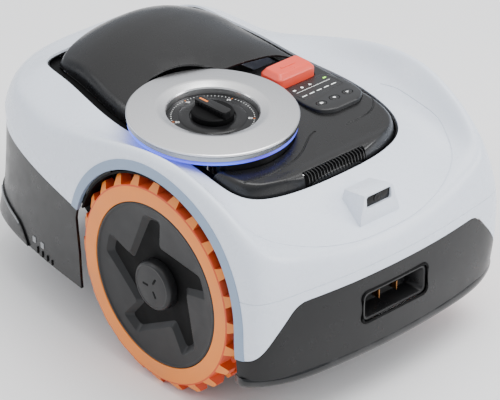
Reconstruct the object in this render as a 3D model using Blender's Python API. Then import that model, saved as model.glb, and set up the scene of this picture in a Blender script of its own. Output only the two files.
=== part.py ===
"""Robotic lawn mower: body shells, floating bumper, hood and dial, lugged wheels, castor and cutting deck.

Metres, +Z up, front towards -Y. Heights start at the ground and y starts at the middle of the body.
Inside the script y is counted from the drive axle, and the last step moves everything by AXLE_Y.
"""

import math

import bmesh
import bpy
import numpy as np
from mathutils import Euler

MM = 0.001
AXLE_Y = -85.7 * MM
GAP = 0.3 * MM

# Body shell
SHELL_WALL = 3.0 * MM
SHELL_COLUMNS = 56
DECK_COLUMNS = 40

# Drive wheels
WHEEL_RADIUS = 114 * MM
TYRE_SIDE_RADIUS = 105.8 * MM
RIM_RADIUS = 87 * MM
HUB_CAP_RADIUS = 26 * MM
WHEEL_FACE_X = 170 * MM
WHEEL_WIDTH = 32 * MM
LUGS = 24
ARCH_RADIUS = 121 * MM
ARCH_REAR_Y = 114.5 * MM
LINER_RADIUS = 118 * MM

# Dial disc and knob share one leaning axis
DIAL_X = -55.6 * MM
DIAL_Y = 39.9 * MM
DIAL_Z = 248 * MM
DIAL_LEAN = math.radians(2)
DISC_RADIUS = 86 * MM
RECESS_RADIUS = 47 * MM
LIGHT_RING_RADIUS = 84.5 * MM
SPINDLE_LENGTH = 158 * MM
SPINDLE_RADIUS = 5 * MM

# Hood and console
DECK_INSET = 3.0 * MM
HOOD_INSET = 11 * MM
DECK_WALL = 2.5 * MM
WALL_SHARE = 0.1
STOP_CENTRE = (69 * MM, 65 * MM)
STOP_SIZE = (52 * MM, 30 * MM)
STOP_TOP_Z = 247 * MM
PANEL_TOP_Z = 234 * MM
KEYS = {"key_home": 54 * MM, "key_ok": 72 * MM, "key_mow": 90 * MM}
KEY_SIZE = (11.5 * MM, 8.5 * MM)
VENT_HALF_WIDTH = 42 * MM

# Charging port and camera
PORT_HALF_WIDTH = 45 * MM
PORT_LOW_Z = 90 * MM
PORT_HIGH_Z = 126 * MM
CONTACT_X = 15 * MM

# Chassis, castor and cutting deck
PAN_LOW_Z = 80 * MM
PAN_HIGH_Z = 84 * MM
CASTER_Y = 250 * MM
CASTER_TRAIL = 20 * MM
CASTER_RADIUS = 44 * MM
BLADE_Z = 40 * MM
BLADE_PIVOT_RADIUS = 60 * MM
BLADE_DISC_RADIUS = 70 * MM
GUARD_RADIUS = 105 * MM
MOTOR_RADIUS = 30 * MM
CARRIAGE_ARM_Y = DIAL_Y + 138 * MM * math.sin(DIAL_LEAN)
GUIDE_POST_X = 22 * MM

# Half outlines of the body in millimetres, from the front centre round the left side to the rear centre.
BODY_LINES = {
    "opening": [(0, -84, 209), (50, -80, 208), (90, -69, 209), (109, -52, 214), (115, -28, 221),
                (116, 6, 227), (117, 46, 228), (117, 99, 227), (114, 150, 232), (106, 205, 238),
                (97, 247, 239), (58, 264, 234), (0, 268, 233)],
    "valley": [(0, -122, 190), (58, -119, 190), (106, -107, 195), (133, -92, 206), (139, -64, 221),
               (140, -18, 233), (140, 38, 233), (137, 95, 229), (132, 145, 227), (124, 195, 228),
               (112, 247, 233), (62, 277, 231), (0, 282, 231)],
    "rim": [(0, -146, 179), (61, -143, 181), (113, -130, 191), (142, -118, 205), (152, -85, 230),
            (154, -30, 247), (154, 28, 246), (151, 87, 235), (146, 137, 226), (138, 190, 221),
            (125, 250, 226), (66, 285, 229), (0, 290, 229)],
    "crest": [(0, -154, 172), (63, -151, 175), (118, -140, 186), (150, -129, 201), (160, -90, 231),
              (162, -34, 253), (162, 28, 252), (160, 88, 238), (155, 138, 224), (147, 190, 215),
              (131, 257, 219), (69, 295, 224), (0, 301, 224)],
    "shoulder": [(0, -159, 162), (65, -156, 164), (122, -146, 173), (158, -133, 186), (167, -92, 215),
                 (169, -34, 241), (169, 30, 240), (167, 90, 226), (162, 140, 211), (153, 196, 202),
                 (132, 267, 204), (71, 306, 210), (0, 313, 210)],
    "brow": [(0, -162, 148), (67, -159, 149), (126, -151, 153), (164, -138, 158), (172, -95, 176),
             (173, -32, 196), (173, 32, 196), (171, 92, 190), (165, 142, 183), (155, 200, 180),
             (129, 278, 184), (73, 312, 187), (0, 321, 188)],
    "belt": [(0, -162.5, 126), (68, -160, 126), (129, -152, 126), (168, -137, 127), (174, -95, 130),
             (174, -32, 137), (174, 32, 144), (172, 93, 149), (166, 143, 153), (155, 202, 158),
             (128, 278, 165), (73, 315, 168), (0, 324, 168)],
    "waist": [(0, -163, 98), (68, -160, 98), (129, -152, 98), (168, -136, 98), (174.5, -95, 98),
              (174.5, -32, 98), (174.5, 32, 98), (172, 93, 98), (166, 143, 98), (156, 203, 98),
              (129, 283, 98), (75, 319, 98), (0, 328, 98)],
    "bottom": [(0, -161, 62), (68, -158, 62), (128, -150, 63), (165, -134, 66), (172, -95, 62),
               (172, -32, 59), (172, 32, 58), (170, 93, 58), (165, 143, 58), (156, 205, 58),
               (130, 290, 58), (76, 325, 58), (0, 334, 58)],
}

# Heights of the hood and of the console along the middle, as (y, z) in millimetres.
HOOD_RIDGE = [(60, 240), (90, 246), (126, 261), (150, 267), (175, 271), (195, 273), (215, 272),
              (235, 265.5), (250, 256), (258, 250), (275, 234)]
HOOD_EDGE = [(60, 236), (100, 235), (150, 238), (200, 245), (240, 240), (258, 235), (275, 232)]
HOOD_HALF = [(60, 106), (99, 106), (150, 103), (205, 95), (247, 86), (275, 80)]
CONSOLE_RIDGE = [(-90, 205), (-80, 211.5), (-72, 219.5), (-60, 222), (-20, 228.5), (20, 231), (120, 234)]

# White shell's lower edge behind the wheel, as (y, z) in millimetres.
SKIRT_TOP = [(104, 149), (143, 153), (202, 158), (280, 166), (345, 169)]

# One arm of the wheel's pinwheel recess, as (degrees clockwise, radius in millimetres).
STAR_ARM = [(7.3, 68.2), (19.1, 67.8), (17.8, 39.6)]

# Black nose panel's outline seen from the front, right half, as (x, z) in millimetres.
BUMPER_HALF = [(122, 143), (148, 113), (160, 96), (170, 88), (200, 86), (200, 30)]


def material(name, color, roughness, metallic=0.0):
    made = bpy.data.materials.get(name)
    if made:
        return made
    made = bpy.data.materials.new(name)
    made.use_nodes = True
    shader = made.node_tree.nodes["Principled BSDF"]
    shader.inputs["Base Color"].default_value = (*color, 1.0)
    shader.inputs["Roughness"].default_value = roughness
    shader.inputs["Metallic"].default_value = metallic
    made.diffuse_color = (*color, 1.0)
    return made


def shell_white():
    return material("shell_white", (0.62, 0.66, 0.73), 0.4)


def satin_black():
    return material("satin_black", (0.03, 0.032, 0.036), 0.45)


def soft_black():
    return material("soft_black", (0.015, 0.016, 0.018), 0.7)


def hood_grey():
    return material("hood_grey", (0.05, 0.052, 0.055), 0.42)


def steel():
    return material("steel", (0.6, 0.6, 0.62), 0.3, 1.0)


def clear_scene():
    for obj in list(bpy.data.objects):
        bpy.data.objects.remove(obj, do_unlink=True)


def add_object(name, points, faces, finish, smooth=35):
    mesh = bpy.data.meshes.new(name)
    mesh.from_pydata([tuple(map(float, point)) for point in points], [], faces)
    build = bmesh.new()
    build.from_mesh(mesh)
    bmesh.ops.recalc_face_normals(build, faces=build.faces)
    build.to_mesh(mesh)
    build.free()
    mesh.shade_smooth()
    mesh.set_sharp_from_angle(angle=math.radians(smooth))
    obj = bpy.data.objects.new(name, mesh)
    bpy.context.scene.collection.objects.link(obj)
    if finish:
        mesh.materials.append(finish)
    return obj


def as_cutter(obj):
    obj.hide_render = True
    obj.display_type = "WIRE"
    return obj


def boolean(target, tool, operation="DIFFERENCE"):
    modifier = target.modifiers.new(operation.lower(), "BOOLEAN")
    modifier.operation = operation
    modifier.object = tool
    modifier.solver = "EXACT"
    as_cutter(tool)


def place(obj, location, rotation=(0, 0, 0)):
    obj.location = location
    obj.rotation_euler = Euler(rotation)
    return obj


def mirror_cap(size, first):
    """Faces that fill a ring which is symmetric about its point 0, as strips from side to side."""
    middle = size // 2
    faces = [(first, first + 1, first + size - 1), (first + middle - 1, first + middle, first + middle + 1)]
    for i in range(1, middle - 1):
        faces.append((first + i, first + i + 1, first + size - i - 1, first + size - i))
    return faces


def loft(name, rings, finish, closed=False, smooth=35, mirrored=False):
    """Skin closed rings of equal length. An open stack is capped at both ends, a closed one is a tube."""
    size = len(rings[0])
    count = len(rings)
    points = np.concatenate([np.asarray(ring, float) for ring in rings])
    faces = []
    for low in range(count if closed else count - 1):
        high = (low + 1) % count
        for i in range(size):
            j = (i + 1) % size
            faces.append((low * size + i, low * size + j, high * size + j, high * size + i))
    if mirrored:
        faces += mirror_cap(size, 0) + mirror_cap(size, (count - 1) * size)
    elif not closed:
        faces.append(tuple(range(size)))
        faces.append(tuple((count - 1) * size + i for i in range(size)))
    return add_object(name, points, faces, finish, smooth)


def revolve(name, profile, finish, segments=48, closed=True, smooth=35):
    """Turn (radius, height) points about local Z. A closed profile makes a ring, an open one is capped."""
    angles = np.linspace(0, 2 * math.pi, segments, endpoint=False)
    rings = [np.c_[r * np.cos(angles), r * np.sin(angles), np.full(segments, h)] for r, h in profile]
    return loft(name, rings, finish, closed, smooth)


def prism(name, outline, low, high, finish, smooth=35):
    """Extrude an (x, y) outline along local Z."""
    flat = np.asarray(outline, float)
    rings = [np.c_[flat, np.full(len(flat), level)] for level in (low, high)]
    return loft(name, rings, finish, smooth=smooth)


def box(name, low, high, finish):
    outline = [(low[0], low[1]), (high[0], low[1]), (high[0], high[1]), (low[0], high[1])]
    return prism(name, outline, low[2], high[2], finish)


def rounded(width, depth, radius, centre=(0, 0), steps=4):
    """Outline of a rectangle with round corners."""
    points = []
    for corner, (sx, sy) in enumerate(((1, 1), (-1, 1), (-1, -1), (1, -1))):
        for step in range(steps + 1):
            angle = math.radians(90 * corner + 90 * step / steps)
            x = centre[0] + sx * (width / 2 - radius) + radius * math.cos(angle)
            y = centre[1] + sy * (depth / 2 - radius) + radius * math.sin(angle)
            points.append((x, y))
    return points


def side_prism(name, outline, low_x, high_x, finish=None):
    """Extrude a (y, z) outline along X."""
    rings = [[(level, y, z) for y, z in outline] for level in (low_x, high_x)]
    return loft(name, rings, finish)


def front_prism(name, outline, low_y, high_y, finish=None):
    """Extrude an (x, z) outline along Y."""
    rings = [[(x, level, z) for x, z in outline] for level in (low_y, high_y)]
    return loft(name, rings, finish)


def spline_weights(knots, samples):
    """Rows of weights that turn values at whole-number knots into a smooth curve's values at the samples."""
    system = np.eye(knots)
    bend = np.zeros((knots, knots))
    for i in range(1, knots - 1):
        system[i, i - 1:i + 2] = (1, 4, 1)
        bend[i, i - 1:i + 2] = (6, -12, 6)
    second = np.linalg.solve(system, bend)
    start = np.minimum(samples.astype(int), knots - 2)
    part = (samples - start)[:, None]
    values = np.eye(knots)
    cubic = ((1 - part) ** 3 - (1 - part)) / 6 * second[start] + (part ** 3 - part) / 6 * second[start + 1]
    return (1 - part) * values[start] + part * values[start + 1] + cubic


def body_cage():
    half = np.array(list(BODY_LINES.values()), float) * MM
    mirrored = half[:, 1:-1][:, ::-1] * (-1, 1, 1)
    return np.concatenate([half, mirrored], axis=1)


def body_surface(columns):
    """Points of the body's outer surface, as rows of closed rings from the hood opening downwards."""
    cage = body_cage()
    wrap = 4
    stations = cage.shape[1]
    looped = np.concatenate([cage[:, -wrap:], cage, cage[:, :wrap + 1]], axis=1)
    across = spline_weights(looped.shape[1], wrap + np.arange(columns) * stations / columns)
    return np.einsum("bcd,ec->bed", looped, across)


def grid_normals(grid):
    along = np.roll(grid, -1, axis=1) - np.roll(grid, 1, axis=1)
    down = np.gradient(grid, axis=0)
    normal = np.cross(down, along)
    return normal / np.linalg.norm(normal, axis=2, keepdims=True)


def body_shell(name, finish):
    outer = body_surface(SHELL_COLUMNS)
    inner = outer - grid_normals(outer) * SHELL_WALL
    return loft(name, list(outer) + list(inner[::-1]), finish, closed=True)


def arch_outline(grow=0.0):
    """Wheel opening seen from the side: an arc over the tyre, then straight down on both sides."""
    radius = ARCH_RADIUS + grow
    angles = np.linspace(math.pi, math.radians(12), 25)
    arc = [(radius * math.cos(a), WHEEL_RADIUS + radius * math.sin(a)) for a in angles]
    return [(-radius, 20 * MM)] + arc + [(ARCH_REAR_Y + grow, 100 * MM), (ARCH_REAR_Y + grow, 20 * MM)]


def bumper_outline(shrink=0.0):
    right = [(x * MM - shrink, z * MM - shrink) for x, z in BUMPER_HALF]
    return [(-x, z) for x, z in reversed(right)] + right


def skirt_outline(shrink=0.0):
    top = [(y * MM, z * MM - shrink) for y, z in SKIRT_TOP]
    return [(104 * MM, 30 * MM)] + top + [(345 * MM, 30 * MM)]


def camera_footprint(grow=0.0):
    half_front = 26 * MM + grow
    half_back = 21 * MM + grow
    return [(-half_front, -138 * MM - grow), (half_front, -138 * MM - grow),
            (half_back, -104 * MM + grow), (-half_back, -104 * MM + grow)]


def top_shell():
    shell = body_shell("top_shell", shell_white())
    for side in (-1, 1):
        boolean(shell, side_prism(f"cut_arch_{side}", arch_outline(), side * 150 * MM, side * 200 * MM))
    boolean(shell, front_prism("cut_nose", bumper_outline(), -200 * MM, -108 * MM))
    boolean(shell, side_prism("cut_rear", skirt_outline(), -200 * MM, 200 * MM))
    boolean(shell, prism("cut_camera", camera_footprint(GAP), 150 * MM, 260 * MM, None))


def front_bumper():
    bumper = body_shell("front_bumper", satin_black())
    nose = front_prism("keep_nose", bumper_outline(GAP), -200 * MM, -108.5 * MM)
    boolean(bumper, nose, "INTERSECT")
    for side in (-1, 1):
        boolean(bumper, side_prism(f"cut_bumper_{side}", arch_outline(), side * 150 * MM, side * 200 * MM))
    port = rounded(2 * PORT_HALF_WIDTH, PORT_HIGH_Z - PORT_LOW_Z, 6 * MM, (0, (PORT_LOW_Z + PORT_HIGH_Z) / 2))
    boolean(bumper, front_prism("cut_port", port, -200 * MM, -130 * MM))


def rear_skirt():
    skirt = body_shell("rear_skirt", satin_black())
    boolean(skirt, side_prism("keep_rear", skirt_outline(GAP), -200 * MM, 200 * MM), "INTERSECT")
    for side in (-1, 1):
        boolean(skirt, side_prism(f"cut_skirt_{side}", arch_outline(), side * 150 * MM, side * 200 * MM))


def bumper_strip():
    """Rubber edge that follows the lower front of the bumper from arch to arch."""
    half = np.array(BODY_LINES["bottom"][:4] + [(171, -121, 66)], float) * MM
    line = np.concatenate([half[::-1], half[1:] * (-1, 1, 1)])
    inward = np.array([-line[:, 0] * 0.25, 60 * MM - line[:, 1] * 0.35, line[:, 2] * 0]).T
    inward /= np.linalg.norm(inward, axis=1, keepdims=True)
    rings = []
    for point, step in zip(line, inward):
        low = point[2] - 8.0 * MM
        high = point[2] - 2.0 * MM
        near = point + step * 0.5 * MM
        far = point + step * 8 * MM
        rings.append([(*near[:2], low), (*near[:2], high), (*far[:2], high), (*far[:2], low)])
    loft("bumper_strip", rings, soft_black())


def opening_line(inset, drop):
    """The hood opening's edge, moved inwards and down."""
    ring = body_surface(DECK_COLUMNS)[0]
    along = np.roll(ring, -1, axis=0) - np.roll(ring, 1, axis=0)
    inward = np.c_[-along[:, 1], along[:, 0], np.zeros(len(ring))]
    inward /= np.linalg.norm(inward, axis=1, keepdims=True)
    return ring + inward * inset - (0, 0, drop)


def hood_frame():
    """Flat trim ring under the opening's edge, which the hood and the console rest on."""
    rings = [opening_line(inset, drop) for inset, drop in
             ((-4 * MM, 7 * MM), (14 * MM, 7 * MM), (14 * MM, 10 * MM), (-4 * MM, 10 * MM))]
    loft("hood_frame", rings, soft_black(), closed=True)


def height_along(table, y):
    rows = np.array(table, float)
    return np.interp(y, rows[:, 0] * MM, rows[:, 1])


def hood_height(x, y):
    """Crowned from the ridge down to the side edges."""
    ridge = height_along(HOOD_RIDGE, y)
    share = np.minimum(np.abs(x) / (height_along(HOOD_HALF, y) * MM), 1)
    return (ridge - (ridge - height_along(HOOD_EDGE, y)) * share ** 2.1) * MM


def console_height(x, y):
    return height_along(CONSOLE_RIDGE, y) * MM


def deck_rings(height, spine, inset, wall):
    """Rings from the opening's edge inwards to a line along the middle, a wall under the given height."""
    edge = opening_line(inset + wall, 5.5 * MM)
    middle = np.c_[edge[:, 0] * 0.05, np.interp(edge[:, 1], (-0.08, 0.27), spine)]
    rings = []
    for share in (0, 0.015, 0.04, 0.09, 0.25, 0.5, 0.75, 1.0):
        flat = edge[:, :2] * (1 - share) + middle * share
        rise = 1 - (1 - min(share / WALL_SHARE, 1)) ** 2.5
        crown = np.maximum(height(flat[:, 0], flat[:, 1]), edge[:, 2] + 3 * MM) - wall
        level = edge[:, 2] * (1 - rise) + crown * rise
        rings.append(np.c_[flat, level])
    return rings


def deck_shell(name, height, spine, inset, finish):
    outer = deck_rings(height, spine, inset, 0)
    inner = deck_rings(height, spine, inset, DECK_WALL)
    return loft(name, outer[::-1] + inner, finish, mirrored=True)


def dial_point(height):
    """A point on the dial's leaning axis, that far above the disc's centre."""
    return (DIAL_X, DIAL_Y - height * math.sin(DIAL_LEAN), DIAL_Z + height * math.cos(DIAL_LEAN))


def on_dial(obj, height=0.0):
    return place(obj, dial_point(height), (DIAL_LEAN, 0, 0))


def dial_well(name, radius, low, high):
    return on_dial(revolve(name, [(radius, low), (radius, high)], None, 48, closed=False))


def hood():
    cover = deck_shell("hood", hood_height, (60 * MM, 200 * MM), HOOD_INSET, hood_grey())
    front = [(-140, -100), (140, -100), (140, 70), (99, 76), (94, 92), (82, 99), (-20, 99), (-140, 99)]
    boolean(cover, prism("cut_hood_front", np.array(front) * MM, 180 * MM, 300 * MM, None))
    boolean(cover, dial_well("cut_hood_dial", DISC_RADIUS + 1.5 * MM, -60 * MM, 60 * MM))


def console():
    deck = deck_shell("console", console_height, (-40 * MM, 180 * MM), DECK_INSET, hood_grey())
    rear = [(-140, 40), (-20, 40), (-20, 98.4), (81.7, 98.4), (93.4, 91.6), (98.4, 75.6), (140, 69.4),
            (140, 300), (-140, 300)]
    boolean(deck, prism("cut_console_rear", np.array(rear) * MM, 180 * MM, 300 * MM, None))
    boolean(deck, dial_well("cut_console_dial", LIGHT_RING_RADIUS - 1.7 * MM, -60 * MM, 60 * MM))
    stop = rounded(STOP_SIZE[0] + 1 * MM, STOP_SIZE[1] + 1 * MM, 6.5 * MM, STOP_CENTRE)
    boolean(deck, prism("cut_stop", stop, 180 * MM, 300 * MM, None))
    boolean(deck, prism("cut_panel", panel_outline(GAP), 180 * MM, 300 * MM, None))
    vent = rounded(2 * VENT_HALF_WIDTH, 7.4 * MM, 2 * MM, (0, -74.4 * MM), 1)
    boolean(deck, prism("cut_vent", vent, 180 * MM, 300 * MM, None))


def vent_grille():
    """Louvred strip that fills the slot in the console's front slope."""
    profile = [(-77.8, 204), (-71, 204), (-71, 219), (-72, 219.4), (-77.8, 212.9)]
    half = VENT_HALF_WIDTH - 2.2 * MM
    grille = side_prism("vent_grille", np.array(profile) * MM, -half, half, satin_black())
    slots = 12
    pitch = 2 * half / slots
    for i in range(slots):
        x = -half + pitch * (i + 0.5)
        low = (x - pitch * 0.28, -80 * MM, 207 * MM)
        high = (x + pitch * 0.28, -72.4 * MM, 230 * MM)
        boolean(grille, box(f"cut_vent_slot_{i}", low, high, None))


def dial_disc():
    """Brushed metal cone with a stepped edge and a recess for the dial."""
    profile = [(DISC_RADIUS, 0), (DISC_RADIUS, -6), (79, -8), (46, -8), (RECESS_RADIUS / MM, 1.5), (58, 5.5),
               (DISC_RADIUS, 1.5)]
    profile = [(r if r < 1 else r * MM, h * MM) for r, h in profile]
    on_dial(revolve("dial_disc", profile, material("brushed_metal", (0.75, 0.75, 0.76), 0.3, 1.0), 40))


def light_ring():
    outer = LIGHT_RING_RADIUS
    profile = [(outer, -8.5 * MM), (outer, -12 * MM), (60 * MM, -12 * MM), (60 * MM, -8.5 * MM)]
    on_dial(revolve("light_ring", profile, material("ring_glow", (0.4, 0.42, 0.95), 0.3), 36))


def disc_base():
    outer = LIGHT_RING_RADIUS - 2 * MM
    profile = [(outer, -12.4 * MM), (outer - 1 * MM, -30 * MM), (outer - 8 * MM, -31 * MM),
               (outer - 8 * MM, -15 * MM), (56 * MM, -15 * MM), (56 * MM, -12.4 * MM)]
    base = on_dial(revolve("disc_base", profile, soft_black(), 36))
    side = box("cut_base_side", (-200 * MM, -100 * MM, 150 * MM), (-100 * MM, 200 * MM, 240 * MM), None)
    boolean(base, side)


def dial_plate():
    """Dark plate that carries the cutting-height scale, with the knob's bore in the middle."""
    profile = [(43, -6.5), (33, -5.5), (24, -4.8), (7, -4.8), (7, -9), (42, -9)]
    profile = [(r * MM, h * MM) for r, h in profile]
    on_dial(revolve("dial_plate", profile, satin_black(), 32))


def height_knob():
    """Round knob base with a raised grip bar, turned by hand to set the cutting height."""
    base = [(5.6, -4), (21, -4), (21, 1.5), (19, 3), (5.6, 3)]
    knob = on_dial(revolve("height_knob", [(r * MM, h * MM) for r, h in base], soft_black(), 32, False))
    grip = on_dial(prism("join_grip", rounded(43 * MM, 11 * MM, 2.5 * MM), 0, 9.5 * MM, None))
    grip.rotation_euler = Euler((DIAL_LEAN, 0, math.radians(-8)))
    boolean(knob, grip, "UNION")
    groove = rounded(12 * MM, 3.2 * MM, 0.8 * MM, (-13 * MM, 0))
    pin = on_dial(prism("cut_pointer", groove, 8.6 * MM, 12 * MM, None))
    pin.rotation_euler = grip.rotation_euler
    boolean(knob, pin)


def knob_pointer():
    outline = rounded(11.4 * MM, 2.6 * MM, 0.6 * MM, (-13 * MM, 0))
    orange = material("orange_mark", (0.9, 0.3, 0.04), 0.5)
    pointer = on_dial(prism("knob_pointer", outline, 8.9 * MM, 9.9 * MM, orange))
    pointer.rotation_euler = Euler((DIAL_LEAN, 0, math.radians(-8)))


def lift_spindle():
    profile = [(SPINDLE_RADIUS, -4.3 * MM), (SPINDLE_RADIUS, -SPINDLE_LENGTH)]
    on_dial(revolve("lift_spindle", profile, steel(), 16, closed=False))


def stop_button():
    """Coral press button with a bevelled top."""
    rings = []
    for shrink, level in ((0, 226), (0, 241.5), (0.6, 243), (4.5, STOP_TOP_Z / MM)):
        size = (STOP_SIZE[0] - 2 * shrink * MM, STOP_SIZE[1] - 2 * shrink * MM)
        flat = rounded(*size, 6 * MM - 0.6 * shrink * MM, steps=2)
        rings.append([(x, y, (level - 226) * MM) for x, y in flat])
    button = loft("stop_button", rings, material("coral_red", (0.8, 0.13, 0.09), 0.4), smooth=25)
    place(button, (*STOP_CENTRE, 226 * MM))


def panel_outline(grow=0.0):
    flat = np.array([(48, 47), (42, 30), (40, 8), (43, -9), (54, -17), (92, -17), (104, -8), (108, 14),
                     (104, 40), (97, 47)]) * MM
    centre = flat.mean(axis=0)
    away = flat - centre
    return flat + away / np.linalg.norm(away, axis=1, keepdims=True) * grow


def keypad_panel():
    flat = panel_outline()
    centre = flat.mean(axis=0)
    small = centre + (flat - centre) * 0.95
    rings = [np.c_[flat, np.full(len(flat), 224 * MM)], np.c_[flat, np.full(len(flat), PANEL_TOP_Z - 2 * MM)],
             np.c_[small, np.full(len(flat), PANEL_TOP_Z)]]
    panel = loft("keypad_panel", rings, satin_black(), smooth=30)
    for name, x in KEYS.items():
        hole = rounded(KEY_SIZE[0] + 0.8 * MM, KEY_SIZE[1] + 0.8 * MM, 4.5 * MM, (x, 0))
        boolean(panel, prism("cut_" + name, hole, 220 * MM, 240 * MM, None))
    slot = rounded(49 * MM, 4.4 * MM, 1 * MM, (72.5 * MM, 21 * MM), 1)
    boolean(panel, prism("cut_lights", slot, 220 * MM, 240 * MM, None))


def keys():
    for name, x in KEYS.items():
        profile = rounded(*KEY_SIZE, 4.1 * MM)
        key = prism(name, profile, -8 * MM, 0.2 * MM, hood_grey(), 30)
        place(key, (x, 0, PANEL_TOP_Z))


def status_lights():
    outline = rounded(48.2 * MM, 3.6 * MM, 0.8 * MM, (72.5 * MM, 21 * MM), 1)
    lamp = material("lamp_white", (0.8, 0.82, 0.8), 0.3)
    prism("status_lights", outline, 224.5 * MM, PANEL_TOP_Z - 0.2 * MM, lamp)


def camera_housing():
    """Wedge on the nose with a face that leans back slightly."""
    base = camera_footprint()
    crown = [(-19 * MM, -135.5 * MM), (19 * MM, -135.5 * MM), (17 * MM, -106 * MM), (-17 * MM, -106 * MM)]
    rings = [[(x, y, 172 * MM) for x, y in base], [(x, y, 187 * MM) for x, y in base],
             [(x, y, (213 if y < -120 * MM else 208) * MM) for x, y in crown]]
    housing = loft("camera_housing", rings, shell_white(), smooth=20)
    window = [(-17.9, 198.2), (17.9, 198.2), (16, 210.6), (-16, 210.6)]
    boolean(housing, front_prism("cut_window", np.array(window) * MM, -150 * MM, -131 * MM))
    lens = rounded(9 * MM, 9 * MM, 4 * MM, (0, 204.5 * MM))
    boolean(housing, front_prism("cut_lens", lens, -132 * MM, -122 * MM))


def camera_window():
    pane = np.array([(-17.5, 198.6), (17.5, 198.6), (15.6, 210.2), (-15.6, 210.2)]) * MM
    glass = material("dark_glass", (0.01, 0.01, 0.012), 0.08)
    front_prism("camera_window", pane, -133.8 * MM, -131.3 * MM, glass)


def camera_lens():
    lens = revolve("camera_lens", [(3.9 * MM, 0), (3.9 * MM, 6 * MM), (2.5 * MM, 7 * MM)],
                   material("lens_glass", (0.02, 0.02, 0.03), 0.05), 20, closed=False)
    place(lens, (0, -123 * MM, 204.5 * MM), (math.radians(90), 0, 0))


def charging_socket():
    """Tray behind the opening in the bumper, open to the front."""
    middle = (PORT_LOW_Z + PORT_HIGH_Z) / 2
    outer = rounded(2 * PORT_HALF_WIDTH - 2 * GAP, PORT_HIGH_Z - PORT_LOW_Z - 2 * GAP, 6 * MM, (0, middle))
    tray = front_prism("charging_socket", outer, -160 * MM, -138 * MM, soft_black())
    mouth = [(-40, 95), (40, 95), (36, 121), (-36, 121)]
    boolean(tray, front_prism("cut_socket", np.array(mouth) * MM, -170 * MM, -142 * MM))


def charge_contacts():
    for side, x in (("right", -CONTACT_X), ("left", CONTACT_X)):
        low = (x - 5 * MM, -150 * MM, 103 * MM)
        high = (x + 5 * MM, -142.3 * MM, 112 * MM)
        box("charge_contact_" + side, low, high, steel())


def tyre_radius(row, angle_index):
    """Lug height for one of the two staggered rows of lugs."""
    phase = (2 * angle_index + 3 * row) % 6
    return WHEEL_RADIUS if phase < 3 else TYRE_SIDE_RADIUS


def tyre_points():
    """Rings across the tyre from its inner face to its outer face and back through the bore."""
    columns = 3 * LUGS
    angles = np.arange(columns) * 2 * math.pi / columns - math.pi / 2
    half = WHEEL_WIDTH / 2
    bore = RIM_RADIUS + GAP
    rows = [(-half, None, TYRE_SIDE_RADIUS - 2 * MM), (-half + 2 * MM, 0, None), (-2 * MM, 0, None),
            (2 * MM, 1, None), (half - 2 * MM, 1, None), (half, None, TYRE_SIDE_RADIUS - 2 * MM),
            (half, None, bore), (-half, None, bore)]
    rings = []
    for offset, row, fixed in rows:
        radius = [fixed if row is None else tyre_radius(row, i) for i in range(columns)]
        rings.append(np.c_[radius * np.cos(angles), radius * np.sin(angles), np.full(columns, offset)])
    return rings


def star_outline(grow=0.0):
    """Five-armed pinwheel round the hub, its edges moved outwards by grow."""
    points = []
    for turn in range(5):
        for angle, radius in STAR_ARM:
            heading = math.radians(90 - 72 * turn - angle)
            points.append((radius * MM * math.cos(heading), radius * MM * math.sin(heading)))
    flat = np.array(points)
    ahead = np.roll(flat, -1, axis=0) - flat
    ahead /= np.linalg.norm(ahead, axis=1, keepdims=True)
    behind = np.roll(ahead, 1, axis=0)
    out_ahead = np.c_[-ahead[:, 1], ahead[:, 0]]
    out_behind = np.c_[-behind[:, 1], behind[:, 0]]
    across = out_ahead + out_behind
    return flat + across * grow / (1 + np.sum(out_ahead * out_behind, axis=1, keepdims=True))


def wheel(side_name, side):
    """One drive wheel: its parts are built about local Z and laid on the axle, outer face outwards."""
    centre_x = side * (WHEEL_FACE_X - WHEEL_WIDTH / 2)
    lay = (0, side * math.radians(90), 0)
    half = WHEEL_WIDTH / 2
    orange = material("orange_rubber", (0.85, 0.25, 0.05), 0.6)
    tyre = loft("tyre_" + side_name, tyre_points(), orange, True, 30)
    place(tyre, (centre_x, 0, WHEEL_RADIUS), lay)
    dish = [(RIM_RADIUS, half - 1 * MM), (83 * MM, half - 2 * MM), (40 * MM, half - 3.5 * MM),
            (9 * MM, half - 3.5 * MM), (9 * MM, half - 30 * MM), (40 * MM, half - 30 * MM),
            (78 * MM, half - 14 * MM), (RIM_RADIUS - 3 * MM, -half + 4 * MM), (RIM_RADIUS, -half + 4 * MM)]
    rim = revolve("wheel_rim_" + side_name, dish, satin_black(), 32)
    place(rim, (centre_x, 0, WHEEL_RADIUS), lay)
    levels = ((star_outline(), half - 8 * MM), (star_outline(8 * MM), half - 0.5 * MM))
    recess = [np.c_[flat, np.full(len(flat), level)] for flat, level in levels]
    star = place(loft("cut_star_" + side_name, recess, None), (centre_x, 0, WHEEL_RADIUS), lay)
    boolean(rim, star)
    edge = [(HUB_CAP_RADIUS, half - 7.7 * MM), (HUB_CAP_RADIUS, half + 0.8 * MM),
            (HUB_CAP_RADIUS - 3.5 * MM, half + 3.6 * MM)]
    cap = revolve("hub_cap_" + side_name, edge, satin_black(), 28, closed=False)
    place(cap, (centre_x, 0, WHEEL_RADIUS), lay)


def drive_train(side_name, side):
    lay = (0, side * math.radians(90), 0)
    shaft = [(8.7 * MM, 72.5 * MM), (8.7 * MM, 155.5 * MM)]
    axle = revolve("axle_" + side_name, shaft, steel(), 20, closed=False)
    place(axle, (0, 0, WHEEL_RADIUS), lay)
    body = [(24, 46), (24, 100), (18, 106), (18, 112), (9.1, 112), (9.1, 72.1), (4, 72.1), (4, 46)]
    motor = revolve("drive_motor_" + side_name, [(r * MM, x * MM) for r, x in body],
                    material("motor_grey", (0.2, 0.2, 0.21), 0.5, 0.6), 20)
    place(motor, (0, 0, WHEEL_RADIUS), lay)


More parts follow.
